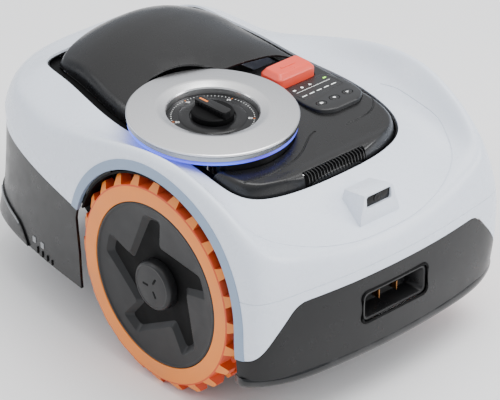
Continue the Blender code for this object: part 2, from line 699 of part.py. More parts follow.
def arch_liner(side_name, side):
    """Band inside the arch, over the tyre."""
    angles = np.linspace(math.radians(180), math.radians(20), 23)
    arc = np.c_[np.cos(angles), np.sin(angles)]
    rings = []
    for radius, x in ((LINER_RADIUS, 168), (LINER_RADIUS, 147), (LINER_RADIUS - 2 * MM, 147),
                      (LINER_RADIUS - 2 * MM, 168)):
        rings.append(np.c_[np.full(len(arc), side * x * MM), radius * arc + (0, WHEEL_RADIUS)])
    profile = np.array(rings).transpose(1, 0, 2)
    loft("arch_liner_" + side_name, list(profile), soft_black())


def caster():
    """Rear wheel in a swivelling fork."""
    wheel_y = CASTER_Y + CASTER_TRAIL
    profile = [(7 * MM, 118 * MM), (7 * MM, 97 * MM), (16 * MM, 96 * MM), (16 * MM, 92 * MM)]
    stem = revolve("caster_fork", profile, satin_black(), 24, closed=False)
    place(stem, (0, CASTER_Y, 0))
    bridge_end = CASTER_TRAIL + 12 * MM
    bridge = box("join_bridge", (-20 * MM, -14 * MM, 91 * MM), (20 * MM, bridge_end, 95 * MM), None)
    place(bridge, (0, CASTER_Y, 0))
    boolean(stem, bridge, "UNION")
    for side in (-1, 1):
        outline = [(-12 * MM, 94 * MM), (CASTER_TRAIL - 9 * MM, 36 * MM),
                   (CASTER_TRAIL + 9 * MM, 36 * MM), (CASTER_TRAIL + 11 * MM, 94 * MM)]
        cheek = side_prism(f"join_cheek_{side}", outline, side * 16.5 * MM, side * 20 * MM)
        place(cheek, (0, CASTER_Y, 0))
        boolean(stem, cheek, "UNION")
    centre = (0, wheel_y, CASTER_RADIUS)
    lay = (0, math.radians(90), 0)
    bore = revolve("cut_fork_bore", [(4.3 * MM, -30 * MM), (4.3 * MM, 30 * MM)], None, 20, closed=False)
    boolean(stem, place(bore, centre, lay))
    axle = revolve("rear_axle", [(4 * MM, -21 * MM), (4 * MM, 21 * MM)], steel(), 16, closed=False)
    place(axle, centre, lay)
    hub = [(4.1, -15), (4.1, 15), (30, 12), (30, -12)]
    place(revolve("rear_hub", [(r * MM, h * MM) for r, h in hub], hood_grey(), 24), centre, lay)
    tread = [(30.3, -13), (30.3, 13), (41, 13), (44, 8), (44, -8), (41, -13)]
    place(revolve("rear_tyre", [(r * MM, h * MM) for r, h in tread], soft_black(), 28), centre, lay)


def chassis_pan():
    flat = [(-70, -128), (70, -128), (109, -112), (109, 96), (58, 118), (58, 180), (-58, 180), (-58, 118),
            (-109, 96), (-109, -112)]
    grey = material("chassis_grey", (0.08, 0.08, 0.085), 0.6)
    pan = prism("chassis_pan", np.array(flat) * MM, PAN_LOW_Z, PAN_HIGH_Z, grey)
    for side in (-1, 1):
        arc = [(98 * MM * math.cos(math.radians(a)), WHEEL_RADIUS + 98 * MM * math.sin(math.radians(a)))
               for a in range(0, 181, 15)]
        wall = side_prism(f"join_wall_{side}", [(-98 * MM, 81 * MM)] + arc[::-1] + [(98 * MM, 81 * MM)],
                          side * 128 * MM, side * 131 * MM)
        boolean(pan, wall, "UNION")
        floor = box(f"join_floor_{side}", (min(side * 100, side * 129) * MM, -90 * MM, PAN_LOW_Z + 0.5 * MM),
                    (max(side * 100, side * 129) * MM, 90 * MM, PAN_HIGH_Z - 0.5 * MM), None)
        boolean(pan, floor, "UNION")
        bore = revolve(f"cut_wall_{side}", [(20 * MM, 120 * MM), (20 * MM, 140 * MM)], None, 20, closed=False)
        boolean(pan, place(bore, (0, 0, WHEEL_RADIUS), (0, side * math.radians(90), 0)))
    riser = box("join_riser", (-35 * MM, 174 * MM, 81 * MM), (35 * MM, 179 * MM, 106 * MM), None)
    boolean(pan, riser, "UNION")
    arm = box("join_arm", (-35 * MM, 176 * MM, 98.5 * MM), (35 * MM, 286 * MM, 106.5 * MM), None)
    boolean(pan, arm, "UNION")
    for name, radius, x, y in (("motor", 36 * MM, 0, 0), ("stem", 7.4 * MM, 0, CASTER_Y)):
        hole = revolve("cut_pan_" + name, [(radius, 60 * MM), (radius, 130 * MM)], None, 24, closed=False)
        boolean(pan, place(hole, (x, y, 0)))


def battery():
    box("battery_pack", (-50 * MM, 72 * MM, PAN_HIGH_Z + GAP), (50 * MM, 168 * MM, 132 * MM),
        material("battery_blue", (0.05, 0.12, 0.25), 0.5))
    cover = rounded(106 * MM, 60 * MM, 6 * MM, (0, 145 * MM))
    prism("battery_cover", cover, 76 * MM, PAN_LOW_Z - GAP, satin_black())


def electronics():
    board = box("main_board", (-60 * MM, -112 * MM, PAN_HIGH_Z + GAP), (60 * MM, -46 * MM, 86.5 * MM),
                material("board_green", (0.02, 0.2, 0.08), 0.5))
    for i, (x, y) in enumerate(((-35, -90), (5, -70), (38, -92))):
        low = ((x - 12) * MM, (y - 9) * MM, 86 * MM)
        high = ((x + 12) * MM, (y + 9) * MM, 91 * MM)
        chip = box(f"join_chip_{i}", low, high, None)
        boolean(board, chip, "UNION")
    mast = [(9 * MM, 132.3 * MM), (9 * MM, 200 * MM), (32 * MM, 203 * MM), (32 * MM, 215 * MM)]
    place(revolve("gnss_antenna", mast, hood_grey(), 32, closed=False), (0, 150 * MM, 0))


def height_carriage():
    """Flange round the cutting motor with an arm out to the lift spindle."""
    low = 108 * MM
    high = 114 * MM
    bore = MOTOR_RADIUS + GAP
    profile = [(bore, low), (bore, high), (37 * MM, high), (37 * MM, low)]
    flange = revolve("height_carriage", profile, material("carriage_grey", (0.25, 0.25, 0.26), 0.5), 24)
    arm_y = CARRIAGE_ARM_Y
    near = (DIAL_X - 11 * MM, arm_y - 9 * MM, low)
    far = (GUIDE_POST_X + 9 * MM, arm_y + 9 * MM, high)
    arm = box("join_carriage_arm", near, far, None)
    boolean(flange, arm, "UNION")
    neck = box("join_carriage_neck", (-20 * MM, 32 * MM, low), (20 * MM, arm_y, high), None)
    boolean(flange, neck, "UNION")
    for name, radius, x in (("spindle", 7.5 * MM, DIAL_X), ("post", 4.6 * MM, GUIDE_POST_X)):
        cut = [(radius, 90 * MM), (radius, 130 * MM)]
        tool = revolve("cut_carriage_" + name, cut, None, 12, closed=False)
        boolean(flange, place(tool, (x, arm_y, 0)))


def cutting_deck():
    place(revolve("guide_post", [(4 * MM, PAN_HIGH_Z + GAP), (4 * MM, 150 * MM)], steel(), 16, closed=False),
          (GUIDE_POST_X, CARRIAGE_ARM_Y, 0))
    motor = [(4.3, 52.3), (MOTOR_RADIUS / MM, 52.3), (MOTOR_RADIUS / MM, 116), (22, 120), (4.3, 120)]
    motor = [(r * MM, z * MM) for r, z in motor]
    revolve("cutting_motor", motor, material("motor_grey", (0.2, 0.2, 0.21), 0.5, 0.6), 24)
    guard = [(33, 54), (GUARD_RADIUS / MM, 54), (GUARD_RADIUS / MM, 36), (102, 36), (102, 51.5), (33, 51.5)]
    revolve("disc_guard", [(r * MM, z * MM) for r, z in guard[::-1]], satin_black(), 36)
    disc = [(4 * MM, 100 * MM), (4 * MM, 48 * MM), (18 * MM, 48 * MM), (BLADE_DISC_RADIUS, 44.5 * MM),
            (BLADE_DISC_RADIUS, 42 * MM), (18 * MM, 42 * MM), (4 * MM, 42 * MM)]
    revolve("blade_disc", disc, material("disc_grey", (0.3, 0.3, 0.31), 0.4, 0.8), 36, closed=False)


def blades():
    """Three loose blades under the disc, each hanging on its own screw."""
    for number in range(3):
        angle = math.radians(90 + 120 * number)
        pivot = (BLADE_PIVOT_RADIUS * math.cos(angle), BLADE_PIVOT_RADIUS * math.sin(angle))
        flat = [(-5, -8), (28, -8), (32, -5), (32, 5), (28, 8), (-5, 8)]
        blade = prism(f"blade_{number + 1}", np.array(flat) * MM, 0, 1.2 * MM, steel())
        hole = prism(f"cut_blade_{number}", rounded(6.2 * MM, 6.2 * MM, 3.09 * MM), -3 * MM, 4 * MM, None)
        for piece in (blade, hole):
            place(piece, (*pivot, BLADE_Z), (0, 0, angle))
        boolean(blade, hole)
        screw = [(2.7 * MM, 41.7 * MM), (2.7 * MM, 39.2 * MM), (5 * MM, 39.2 * MM), (5 * MM, 37.5 * MM)]
        place(revolve(f"blade_screw_{number + 1}", screw, steel(), 16, closed=False), (*pivot, 0))


def build():
    clear_scene()
    top_shell()
    front_bumper()
    rear_skirt()
    bumper_strip()
    hood_frame()
    hood()
    console()
    vent_grille()
    dial_disc()
    light_ring()
    disc_base()
    dial_plate()
    height_knob()
    knob_pointer()
    lift_spindle()
    stop_button()
    keypad_panel()
    keys()
    status_lights()
    camera_housing()
    camera_window()
    camera_lens()
    charging_socket()
    charge_contacts()
    for side_name, side in (("right", -1), ("left", 1)):
        wheel(side_name, side)
        drive_train(side_name, side)
        arch_liner(side_name, side)
    caster()
    chassis_pan()
    battery()
    electronics()
    height_carriage()
    cutting_deck()
    blades()
    for obj in bpy.data.objects:
        obj.location.y += AXLE_Y


build()
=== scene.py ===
"""Looks of the robotic lawn mower: fine skins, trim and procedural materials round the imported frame.

Metres, +Z up, front towards -Y. Local y values are counted from the drive axle, like the frame's own design.
"""
import math

import bmesh
import bpy
import numpy as np
from mathutils import Euler, Matrix, Vector
from mathutils.bvhtree import BVHTree


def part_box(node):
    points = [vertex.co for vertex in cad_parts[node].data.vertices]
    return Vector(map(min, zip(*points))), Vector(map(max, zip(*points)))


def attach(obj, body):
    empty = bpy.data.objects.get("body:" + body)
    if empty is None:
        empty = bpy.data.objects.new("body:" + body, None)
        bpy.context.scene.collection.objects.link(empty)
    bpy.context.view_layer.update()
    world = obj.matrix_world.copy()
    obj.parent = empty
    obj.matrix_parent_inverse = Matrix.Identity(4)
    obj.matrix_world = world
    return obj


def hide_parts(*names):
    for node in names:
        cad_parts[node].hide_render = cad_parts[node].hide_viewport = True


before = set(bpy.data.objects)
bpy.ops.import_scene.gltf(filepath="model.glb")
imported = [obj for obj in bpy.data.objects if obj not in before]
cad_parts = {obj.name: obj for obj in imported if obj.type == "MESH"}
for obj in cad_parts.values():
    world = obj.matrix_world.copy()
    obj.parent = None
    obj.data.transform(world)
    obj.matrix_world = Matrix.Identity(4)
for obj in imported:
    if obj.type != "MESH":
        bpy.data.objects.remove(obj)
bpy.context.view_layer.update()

MM = 0.001

# Places read from the frame
TYRE_LOW, TYRE_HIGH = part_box("tyre_right")
DISC_LOW, DISC_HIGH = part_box("dial_disc")
AXLE_Y = (TYRE_LOW.y + TYRE_HIGH.y) / 2
WHEEL_RADIUS = (TYRE_HIGH.z - TYRE_LOW.z) / 2
WHEEL_FACE_X = -TYRE_LOW.x
WHEEL_WIDTH = TYRE_HIGH.x - TYRE_LOW.x
DIAL_X = (DISC_LOW.x + DISC_HIGH.x) / 2
DISC_RADIUS = (DISC_HIGH.x - DISC_LOW.x) / 2

# Sizes
SHELL_WALL = 3.0 * MM
SHELL_COLUMNS = 288
SHELL_STEPS = 7
DECK_COLUMNS = 240
DECK_RINGS = 46
HOOD_INSET = 13 * MM
CONSOLE_INSET = 3.5 * MM
DECK_WALL = 2.2 * MM
DIAL_Y = 39.9 * MM
DIAL_Z = 248 * MM
DIAL_LEAN = math.radians(2)
GRIP_TURN = math.radians(-88)
RIM_RADIUS = 87 * MM
TREAD_RADIUS = 105.5 * MM
LUGS = 24
ARCH_RADIUS = 121 * MM
ARCH_REAR_Y = 114.5 * MM
LIP_WIDTH = 9.5 * MM
STOP_CENTRE = (69 * MM, 65 * MM)
STOP_SIZE = (52 * MM, 30 * MM)
PANEL_TOP = 234 * MM
KEYS = {"home": 54 * MM, "ok": 72 * MM, "mow": 90 * MM}
VENT_HALF_WIDTH = 41 * MM
PORT_CENTRE_Z = 108 * MM
SIDES = ((-1, "right"), (1, "left"))

# Where the cutting tools end: arches start outside the shell's valley, and the rest reach past the body.
ARCH_CUT_X = 150 * MM
BEYOND = 220 * MM
CUT_LOW = 180 * MM
CUT_HIGH = 300 * MM
NOSE_END_Y = -118 * MM
NOSE_FIRST_ROW = 20

# How hood and console rise from the opening: drop of their edge, width of the rise, spacing of the rings.
DECK_DROP = 5.0 * MM
DECK_RISE_SHARE = 0.085
DECK_SPACING = 1.7
HOOD_CROWN = 2.1

RECESS_DEPTH = 8 * MM
RECESS_FLARE = 8 * MM

CAMERA_PLACE = (-1.7851, -1.8877, 1.6505)
CAMERA_TILT = 90 - 30.116
CAMERA_TURN = -42.705
CAMERA_LENS = 216

# Half outlines of the body in millimetres, from the front centre round the left side to the rear centre.
BODY_LINES = {
    "opening": [(0, -84, 209), (50, -80, 208), (90, -69, 209), (109, -52, 214), (115, -28, 221),
                (116, 6, 227), (117, 46, 228), (117, 99, 227), (114, 150, 232), (106, 205, 238),
                (97, 247, 239), (58, 264, 234), (0, 268, 233)],
    "valley": [(0, -122, 190), (58, -119, 190), (106, -107, 195), (133, -92, 206), (139, -64, 221),
               (140, -18, 233), (140, 38, 233), (137, 95, 229), (132, 145, 227), (124, 195, 228),
               (112, 247, 233), (62, 277, 231), (0, 282, 231)],
    "rim": [(0, -146, 179), (61, -143, 181), (113, -130, 191), (142, -118, 205), (152, -85, 230),
            (154, -30, 247), (154, 28, 246), (151, 87, 235), (146, 137, 226), (138, 190, 221),
            (125, 250, 226), (66, 285, 229), (0, 290, 229)],
    "crest": [(0, -154, 172), (63, -151, 175), (118, -140, 186), (150, -129, 201), (160, -90, 231),
              (162, -34, 253), (162, 28, 252), (160, 88, 238), (155, 138, 224), (147, 190, 215),
              (131, 257, 219), (69, 295, 224), (0, 301, 224)],
    "shoulder": [(0, -159, 162), (65, -156, 164), (122, -146, 173), (158, -133, 186), (167, -92, 215),
                 (169, -34, 241), (169, 30, 240), (167, 90, 226), (162, 140, 211), (153, 196, 202),
                 (132, 267, 204), (71, 306, 210), (0, 313, 210)],
    "brow": [(0, -162, 148), (67, -159, 149), (126, -151, 153), (164, -138, 158), (172, -95, 176),
             (173, -32, 196), (173, 32, 196), (171, 92, 190), (165, 142, 183), (155, 200, 180),
             (129, 278, 184), (73, 312, 187), (0, 321, 188)],
    "belt": [(0, -162.5, 126), (68, -160, 126), (129, -152, 126), (168, -137, 127), (174, -95, 130),
             (174, -32, 137), (174, 32, 144), (172, 93, 149), (166, 143, 153), (155, 202, 158),
             (128, 278, 165), (73, 315, 168), (0, 324, 168)],
    "waist": [(0, -163, 98), (68, -160, 98), (129, -152, 98), (168, -136, 98), (174.5, -95, 98),
              (174.5, -32, 98), (174.5, 32, 98), (172, 93, 98), (166, 143, 98), (156, 203, 98),
              (129, 283, 98), (75, 319, 98), (0, 328, 98)],
    "bottom": [(0, -161, 62), (68, -158, 62), (128, -150, 63), (165, -134, 66), (172, -95, 62),
               (172, -32, 59), (172, 32, 58), (170, 93, 58), (165, 143, 58), (156, 205, 58),
               (130, 290, 58), (76, 325, 58), (0, 334, 58)],
}

# Values along y, in millimetres: heights of the hood's middle and of its side edges, the hood's half width, and
# the height of the console.
HOOD_RIDGE = [(60, 240), (90, 246), (126, 261), (150, 267), (175, 271), (195, 273), (215, 272),
              (235, 265.5), (250, 256), (258, 250), (275, 234)]
HOOD_EDGE = [(60, 236), (100, 235), (150, 238), (200, 245), (240, 240), (258, 235), (275, 232)]
HOOD_HALF = [(60, 106), (99, 106), (150, 103), (205, 95), (247, 86), (275, 80)]
CONSOLE_RIDGE = [(-90, 205), (-80, 211.5), (-72, 219.5), (-60, 222), (-20, 228.5), (20, 231), (120, 234)]

# Outlines in millimetres: white shell's lower edge behind the wheel (y, z), nose panel's half (x, z).
SKIRT_TOP = [(104, 149), (143, 153), (202, 158), (280, 166), (345, 169)]
BUMPER_HALF = [(122, 143), (148, 113), (160, 96), (170, 88), (200, 86), (200, 30)]

# One arm of the wheel's pinwheel recess, as (degrees clockwise, radius).
STAR_ARM = [(7.3, 68.2), (19.1, 67.8), (17.8, 39.6)]

# The groove round the front plateau, from the middle of the nose to the left side of the console.
CREASE = [(0, -152, 177), (25, -151, 177), (47, -148, 178), (85, -138, 183), (118, -120, 194),
          (133, -100, 205), (138, -78, 219), (139, -50, 224), (138, -25, 227), (132, -5, 228)]


# ---------------------------------------------------------------- materials

def shader_of(name, roughness, metallic=0.0, **uniform):
    made = bpy.data.materials.new(name)
    made.use_nodes = True
    shader = made.node_tree.nodes["Principled BSDF"]
    shader.inputs["Roughness"].default_value = roughness
    shader.inputs["Metallic"].default_value = metallic
    for key, value in uniform.items():
        shader.inputs[key.replace("_", " ")].default_value = value
    return made, made.node_tree, shader


def noise(tree, scale, detail=3.0, stretch=(1, 1, 1)):
    place_at = tree.nodes.new("ShaderNodeTexCoord")
    mapping = tree.nodes.new("ShaderNodeMapping")
    mapping.inputs["Scale"].default_value = stretch
    pattern = tree.nodes.new("ShaderNodeTexNoise")
    pattern.inputs["Scale"].default_value = scale
    pattern.inputs["Detail"].default_value = detail
    tree.links.new(place_at.outputs["Object"], mapping.inputs["Vector"])
    tree.links.new(mapping.outputs["Vector"], pattern.inputs["Vector"])
    return pattern.outputs["Fac"]


def spread(tree, value, low, high, start=0.3, end=0.7):
    ranged = tree.nodes.new("ShaderNodeMapRange")
    ranged.inputs["From Min"].default_value = start
    ranged.inputs["From Max"].default_value = end
    ranged.inputs["To Min"].default_value = low
    ranged.inputs["To Max"].default_value = high
    tree.links.new(value, ranged.inputs["Value"])
    return ranged.outputs["Result"]


def two_tones(tree, factor, first, second):
    mix = tree.nodes.new("ShaderNodeMix")
    mix.data_type = "RGBA"
    mix.inputs["A"].default_value = (*first, 1)
    mix.inputs["B"].default_value = (*second, 1)
    tree.links.new(factor, mix.inputs["Factor"])
    return mix.outputs["Result"]


def drive(tree, shader, tone, dark, light, gloss):
    """Let one pattern drift the base colour between two tones and another one set the roughness."""
    tree.links.new(two_tones(tree, tone, dark, light), shader.inputs["Base Color"])
    tree.links.new(gloss, shader.inputs["Roughness"])


def add_bump(tree, shader, height, strength, depth, edge=0.0):
    bump = tree.nodes.new("ShaderNodeBump")
    bump.inputs["Strength"].default_value = strength
    bump.inputs["Distance"].default_value = depth
    tree.links.new(height, bump.inputs["Height"])
    if edge:
        soft = tree.nodes.new("ShaderNodeBevel")
        soft.samples = 4
        soft.inputs["Radius"].default_value = edge
        tree.links.new(soft.outputs["Normal"], bump.inputs["Normal"])
    tree.links.new(bump.outputs["Normal"], shader.inputs["Normal"])


def plastic(name, color, roughness, grain=1400, depth=0.000012, edge=0.0, shift=0.06, **uniform):
    """Moulded plastic: fine grain in the surface, slow drifts of tone and gloss, and softened edges."""
    made, tree, shader = shader_of(name, roughness, **uniform)
    slow = noise(tree, 9, 2)
    dark = tuple(c * (1 - shift) for c in color)
    light = tuple(min(1.0, c * (1 + shift)) for c in color)
    gloss = spread(tree, noise(tree, 60, 5), roughness - 0.05, roughness + 0.06)
    drive(tree, shader, spread(tree, slow, 0, 1), dark, light, gloss)
    add_bump(tree, shader, noise(tree, grain, 2), 0.35, depth, edge)
    return made


def rubber(name, color, roughness=0.62):
    """Rubber: matt, with a fine mould grain and faint dusty patches."""
    made, tree, shader = shader_of(name, roughness)
    dust = noise(tree, 28, 6)
    dusty = tuple(c * 0.86 + 0.03 for c in color)
    gloss = spread(tree, dust, roughness - 0.06, roughness + 0.1)
    drive(tree, shader, spread(tree, dust, 0, 1, 0.45, 0.75), color, dusty, gloss)
    add_bump(tree, shader, noise(tree, 900, 3), 0.4, 0.00006)
    return made


def metal(name, color, roughness, stretch=(1, 1, 60), scale=220):
    """Machined metal with fine parallel marks."""
    made, tree, shader = shader_of(name, roughness, 1.0)
    marks = noise(tree, scale, 3, stretch)
    dark = tuple(c * 0.9 for c in color)
    gloss = spread(tree, marks, roughness - 0.06, roughness + 0.08)
    drive(tree, shader, spread(tree, marks, 0, 1), dark, color, gloss)
    add_bump(tree, shader, marks, 0.25, 0.00003)
    return made


def turned_metal(name, color, roughness):
    """Metal brushed round the local Z axis: the marks depend on the distance from it."""
    made, tree, shader = shader_of(name, roughness, 1.0)
    place_at = tree.nodes.new("ShaderNodeTexCoord")
    parts = tree.nodes.new("ShaderNodeSeparateXYZ")
    flat = tree.nodes.new("ShaderNodeCombineXYZ")
    length = tree.nodes.new("ShaderNodeVectorMath")
    length.operation = "LENGTH"
    tree.links.new(place_at.outputs["Object"], parts.inputs[0])
    tree.links.new(parts.outputs["X"], flat.inputs["X"])
    tree.links.new(parts.outputs["Y"], flat.inputs["Y"])
    tree.links.new(flat.outputs[0], length.inputs[0])
    rings = tree.nodes.new("ShaderNodeTexNoise")
    rings.noise_dimensions = "1D"
    rings.inputs["Scale"].default_value = 2600
    rings.inputs["Detail"].default_value = 4
    tree.links.new(length.outputs["Value"], rings.inputs["W"])
    marks = rings.outputs["Fac"]
    dark = tuple(c * 0.93 for c in color)
    gloss = spread(tree, marks, roughness - 0.05, roughness + 0.07)
    drive(tree, shader, spread(tree, marks, 0, 1), dark, color, gloss)
    add_bump(tree, shader, marks, 0.3, 0.00004)
    return made


def glow(name, color, strength, core):
    """Light diffuser: a bright core colour that drifts slightly along its length."""
    made, tree, shader = shader_of(name, 0.3)
    drift = noise(tree, 14, 1)
    tint = two_tones(tree, spread(tree, drift, 0, 1), color, core)
    tree.links.new(tint, shader.inputs["Base Color"])
    tree.links.new(tint, shader.inputs["Emission Color"])
    shader.inputs["Emission Strength"].default_value = strength
    return made


WHITE = plastic("mat_shell_white", (0.72, 0.775, 0.87), 0.28, edge=0.0006, shift=0.012)
# The arch lip's grey-blue is partly its own tint and partly painted shade of the lip's inward-turned face.
LIP = plastic("mat_arch_lip_tint_and_painted_shade", (0.24, 0.32, 0.45), 0.42, edge=0.0005, shift=0.03)
BLACK = plastic("mat_satin_black", (0.0055, 0.0055, 0.006), 0.3, edge=0.0005, Specular_IOR_Level=0.28)
HOOD = plastic("mat_hood_charcoal", (0.006, 0.006, 0.0065), 0.27, edge=0.0006, Specular_IOR_Level=0.42)
PAD = plastic("mat_panel_grey", (0.012, 0.0122, 0.013), 0.32, edge=0.0003, Specular_IOR_Level=0.4)
DARK = plastic("mat_soft_black", (0.0012, 0.0012, 0.0014), 0.6, Specular_IOR_Level=0.12)
DISH = plastic("mat_wheel_dish", (0.010, 0.0102, 0.011), 0.4, edge=0.0006, Specular_IOR_Level=0.34)
# Grey for the skirt's square marks, and for the strip that paints the highlight on the skirt step's top edge.
GREY = plastic("mat_grey_marks_and_painted_highlight", (0.23, 0.24, 0.25), 0.38, edge=0.0003)
CHASSIS = plastic("mat_chassis", (0.05, 0.05, 0.054), 0.6, grain=500, depth=0.0001)
CORAL = plastic("mat_coral", (0.80, 0.07, 0.035), 0.32, edge=0.0005, shift=0.04)
ORANGE_MARK = plastic("mat_orange_mark", (0.85, 0.22, 0.03), 0.4)
PRINT = plastic("mat_white_print", (0.78, 0.79, 0.78), 0.45)
SLEEVE = plastic("mat_battery_sleeve", (0.03, 0.09, 0.22), 0.35)
BOARD = plastic("mat_board_green", (0.015, 0.12, 0.05), 0.4)
SIDEWALL = rubber("mat_sidewall", (0.80, 0.225, 0.022), 0.5)
TREAD = rubber("mat_tread", (0.62, 0.060, 0.004), 0.5)
BLACK_RUBBER = rubber("mat_black_rubber", (0.003, 0.003, 0.0035), 0.2)
BRASS = metal("mat_contact_brass", (0.34, 0.15, 0.05), 0.35, (1, 1, 1), 90)
STEEL = metal("mat_ground_steel", (0.62, 0.62, 0.64), 0.28)
ZINC = metal("mat_zinc", (0.36, 0.36, 0.38), 0.45, (1, 1, 1), 90)
CAST = metal("mat_cast", (0.33, 0.33, 0.35), 0.55, (1, 1, 1), 260)
BRUSHED = turned_metal("mat_brushed_disc", (0.74, 0.74, 0.75), 0.3)
EDGE_METAL = turned_metal("mat_disc_edge", (0.36, 0.37, 0.38), 0.26)
TURNED = turned_metal("mat_turned_disc", (0.42, 0.42, 0.44), 0.38)
GLASS = plastic("mat_dark_glass", (0.001, 0.001, 0.0012), 0.05, grain=200, depth=0.000002,
                Specular_IOR_Level=0.2)
RING_GLOW = glow("mat_ring_glow", (0.08, 0.06, 0.60), 1.3, (0.08, 0.16, 0.95))
LAMP = glow("mat_lamp", (0.75, 0.80, 0.78), 0.7, (0.85, 0.88, 0.86))
GREEN_LED = glow("mat_green_led", (0.28, 0.85, 0.05), 1.3, (0.40, 0.95, 0.10))


# ---------------------------------------------------------------- mesh tools

def mm(rows):
    """Points given in millimetres, as metres."""
    return [tuple(value * MM for value in row) for row in rows]


def add_object(name, points, faces, finish, smooth=35):
    mesh = bpy.data.meshes.new(name)
    mesh.from_pydata([tuple(map(float, point)) for point in points], [], faces)
    build = bmesh.new()
    build.from_mesh(mesh)
    bmesh.ops.recalc_face_normals(build, faces=build.faces)
    build.to_mesh(mesh)
    build.free()
    obj = bpy.data.objects.new(name, mesh)
    bpy.context.scene.collection.objects.link(obj)
    if finish:
        mesh.materials.append(finish)
    shade(obj, smooth)
    return obj


def shade(obj, angle=35):
    obj.data.shade_smooth()
    obj.data.set_sharp_from_angle(angle=math.radians(angle))


def apply_modifiers(obj):
    graph = bpy.context.evaluated_depsgraph_get()
    mesh = bpy.data.meshes.new_from_object(obj.evaluated_get(graph))
    obj.modifiers.clear()
    obj.data = mesh


def carve(target, cutters, within=None, angle=35):
    """Keep the target's share within one tool, cut the others away, and remove all these tools."""
    tools = [(within, "INTERSECT")] if within else []
    tools += [(cutter, "DIFFERENCE") for cutter in cutters]
    for tool, operation in tools:
        modifier = target.modifiers.new("cut", "BOOLEAN")
        modifier.operation = operation
        modifier.object = tool
        modifier.solver = "EXACT"
    bpy.context.view_layer.update()
    apply_modifiers(target)
    for tool, _ in tools:
        bpy.data.objects.remove(tool)
    shade(target, angle)
    return target


def soften(obj, width, segments=2, angle=40):
    """Round off the edges that are sharper than the angle."""
    modifier = obj.modifiers.new("soft_edges", "BEVEL")
    modifier.limit_method = "ANGLE"
    modifier.angle_limit = math.radians(angle)
    modifier.width = width
    modifier.segments = segments
    apply_modifiers(obj)
    shade(obj, 40)
    return obj


def join(name, pieces):
    """One object out of several; each keeps its material."""
    for piece in pieces:
        bpy.context.view_layer.update()
        piece.data = piece.data.copy()
        piece.data.transform(piece.matrix_world)
        piece.matrix_world = Matrix()
    with bpy.context.temp_override(active_object=pieces[0], selected_editable_objects=pieces):
        bpy.ops.object.join()
    pieces[0].name = name
    return pieces[0]


def settle(obj, body, replaces=()):
    """Move a piece from axle coordinates to the frame, and let it ride on its body."""
    obj.location.y += AXLE_Y
    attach(obj, body)
    if replaces:
        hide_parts(*replaces)
    return obj


def place(obj, location, rotation=(0, 0, 0)):
    obj.location = location
    obj.rotation_euler = Euler(rotation)
    return obj


def mirror_cap(size, first):
    """Faces that close a ring which mirrors itself across x = 0, joined from side to side."""
    middle = size // 2
    faces = [(first, first + 1, first + size - 1), (first + middle - 1, first + middle, first + middle + 1)]
    for i in range(1, middle - 1):
        faces.append((first + i, first + i + 1, first + size - i - 1, first + size - i))
    return faces


def loft(name, rings, finish, closed=False, smooth=35, mirrored=False):
    """Skin closed rings of equal length; an open stack is capped at both ends."""
    size = len(rings[0])
    count = len(rings)
    points = np.concatenate([np.asarray(ring, float) for ring in rings])
    faces = []
    for low in range(count if closed else count - 1):
        high = (low + 1) % count
        for i in range(size):
            j = (i + 1) % size
            faces.append((low * size + i, low * size + j, high * size + j, high * size + i))
    if mirrored:
        faces += mirror_cap(size, 0) + mirror_cap(size, (count - 1) * size)
    elif not closed:
        faces.append(tuple(range(size)))
        faces.append(tuple((count - 1) * size + i for i in range(size)))
    return add_object(name, points, faces, finish, smooth)


def revolve(name, profile, finish, segments=96, closed=True, smooth=35):
    angles = np.linspace(0, 2 * math.pi, segments, endpoint=False)
    rings = [np.c_[r * np.cos(angles), r * np.sin(angles), np.full(segments, h)] for r, h in profile]
    return loft(name, rings, finish, closed, smooth)


def prism(name, outline, low, high, finish=None):
    flat = np.asarray(outline, float)
    rings = [np.c_[flat, np.full(len(flat), level)] for level in (low, high)]
    return loft(name, rings, finish)


def box(name, low, high, finish=None):
    outline = [(low[0], low[1]), (high[0], low[1]), (high[0], high[1]), (low[0], high[1])]
    return prism(name, outline, low[2], high[2], finish)


def side_prism(name, outline, low_x, high_x, finish=None):
    rings = [[(level, y, z) for y, z in outline] for level in (low_x, high_x)]
    return loft(name, rings, finish)


def front_prism(name, outline, low_y, high_y, finish=None):
    rings = [[(x, level, z) for x, z in outline] for level in (low_y, high_y)]
    return loft(name, rings, finish)


def rounded(width, depth, radius, centre=(0, 0), steps=8):
    points = []
    for corner, (sx, sy) in enumerate(((1, 1), (-1, 1), (-1, -1), (1, -1))):
        for step in range(steps + 1):
            angle = math.radians(90 * corner + 90 * step / steps)
            x = centre[0] + sx * (width / 2 - radius) + radius * math.cos(angle)
            y = centre[1] + sy * (depth / 2 - radius) + radius * math.sin(angle)
            points.append((x, y))
    return points


def fillet(outline, radius, steps=6):
    """Replace each corner of an outline by an arc-like curve that starts that far from the corner."""
    points = np.asarray(outline, float)
    result = []
    for i, corner in enumerate(points):
        before = points[i - 1] - corner
        after = points[(i + 1) % len(points)] - corner
        reach_before = min(radius, np.linalg.norm(before) * 0.48)
        reach_after = min(radius, np.linalg.norm(after) * 0.48)
        start = corner + before / np.linalg.norm(before) * reach_before
        end = corner + after / np.linalg.norm(after) * reach_after
        for t in np.linspace(0, 1, steps + 1):
            result.append(tuple((1 - t) ** 2 * start + 2 * t * (1 - t) * corner + t * t * end))
    return result


def spline_weights(knots, samples):
    """Rows of weights that turn values at whole-number knots into a smooth curve's values at the samples."""
    system = np.eye(knots)
    bend = np.zeros((knots, knots))
    for i in range(1, knots - 1):
        system[i, i - 1:i + 2] = (1, 4, 1)
        bend[i, i - 1:i + 2] = (6, -12, 6)
    second = np.linalg.solve(system, bend)
    start = np.minimum(samples.astype(int), knots - 2)
    part = (samples - start)[:, None]
    values = np.eye(knots)
    cubic = ((1 - part) ** 3 - (1 - part)) / 6 * second[start] + (part ** 3 - part) / 6 * second[start + 1]
    return (1 - part) * values[start] + part * values[start + 1] + cubic


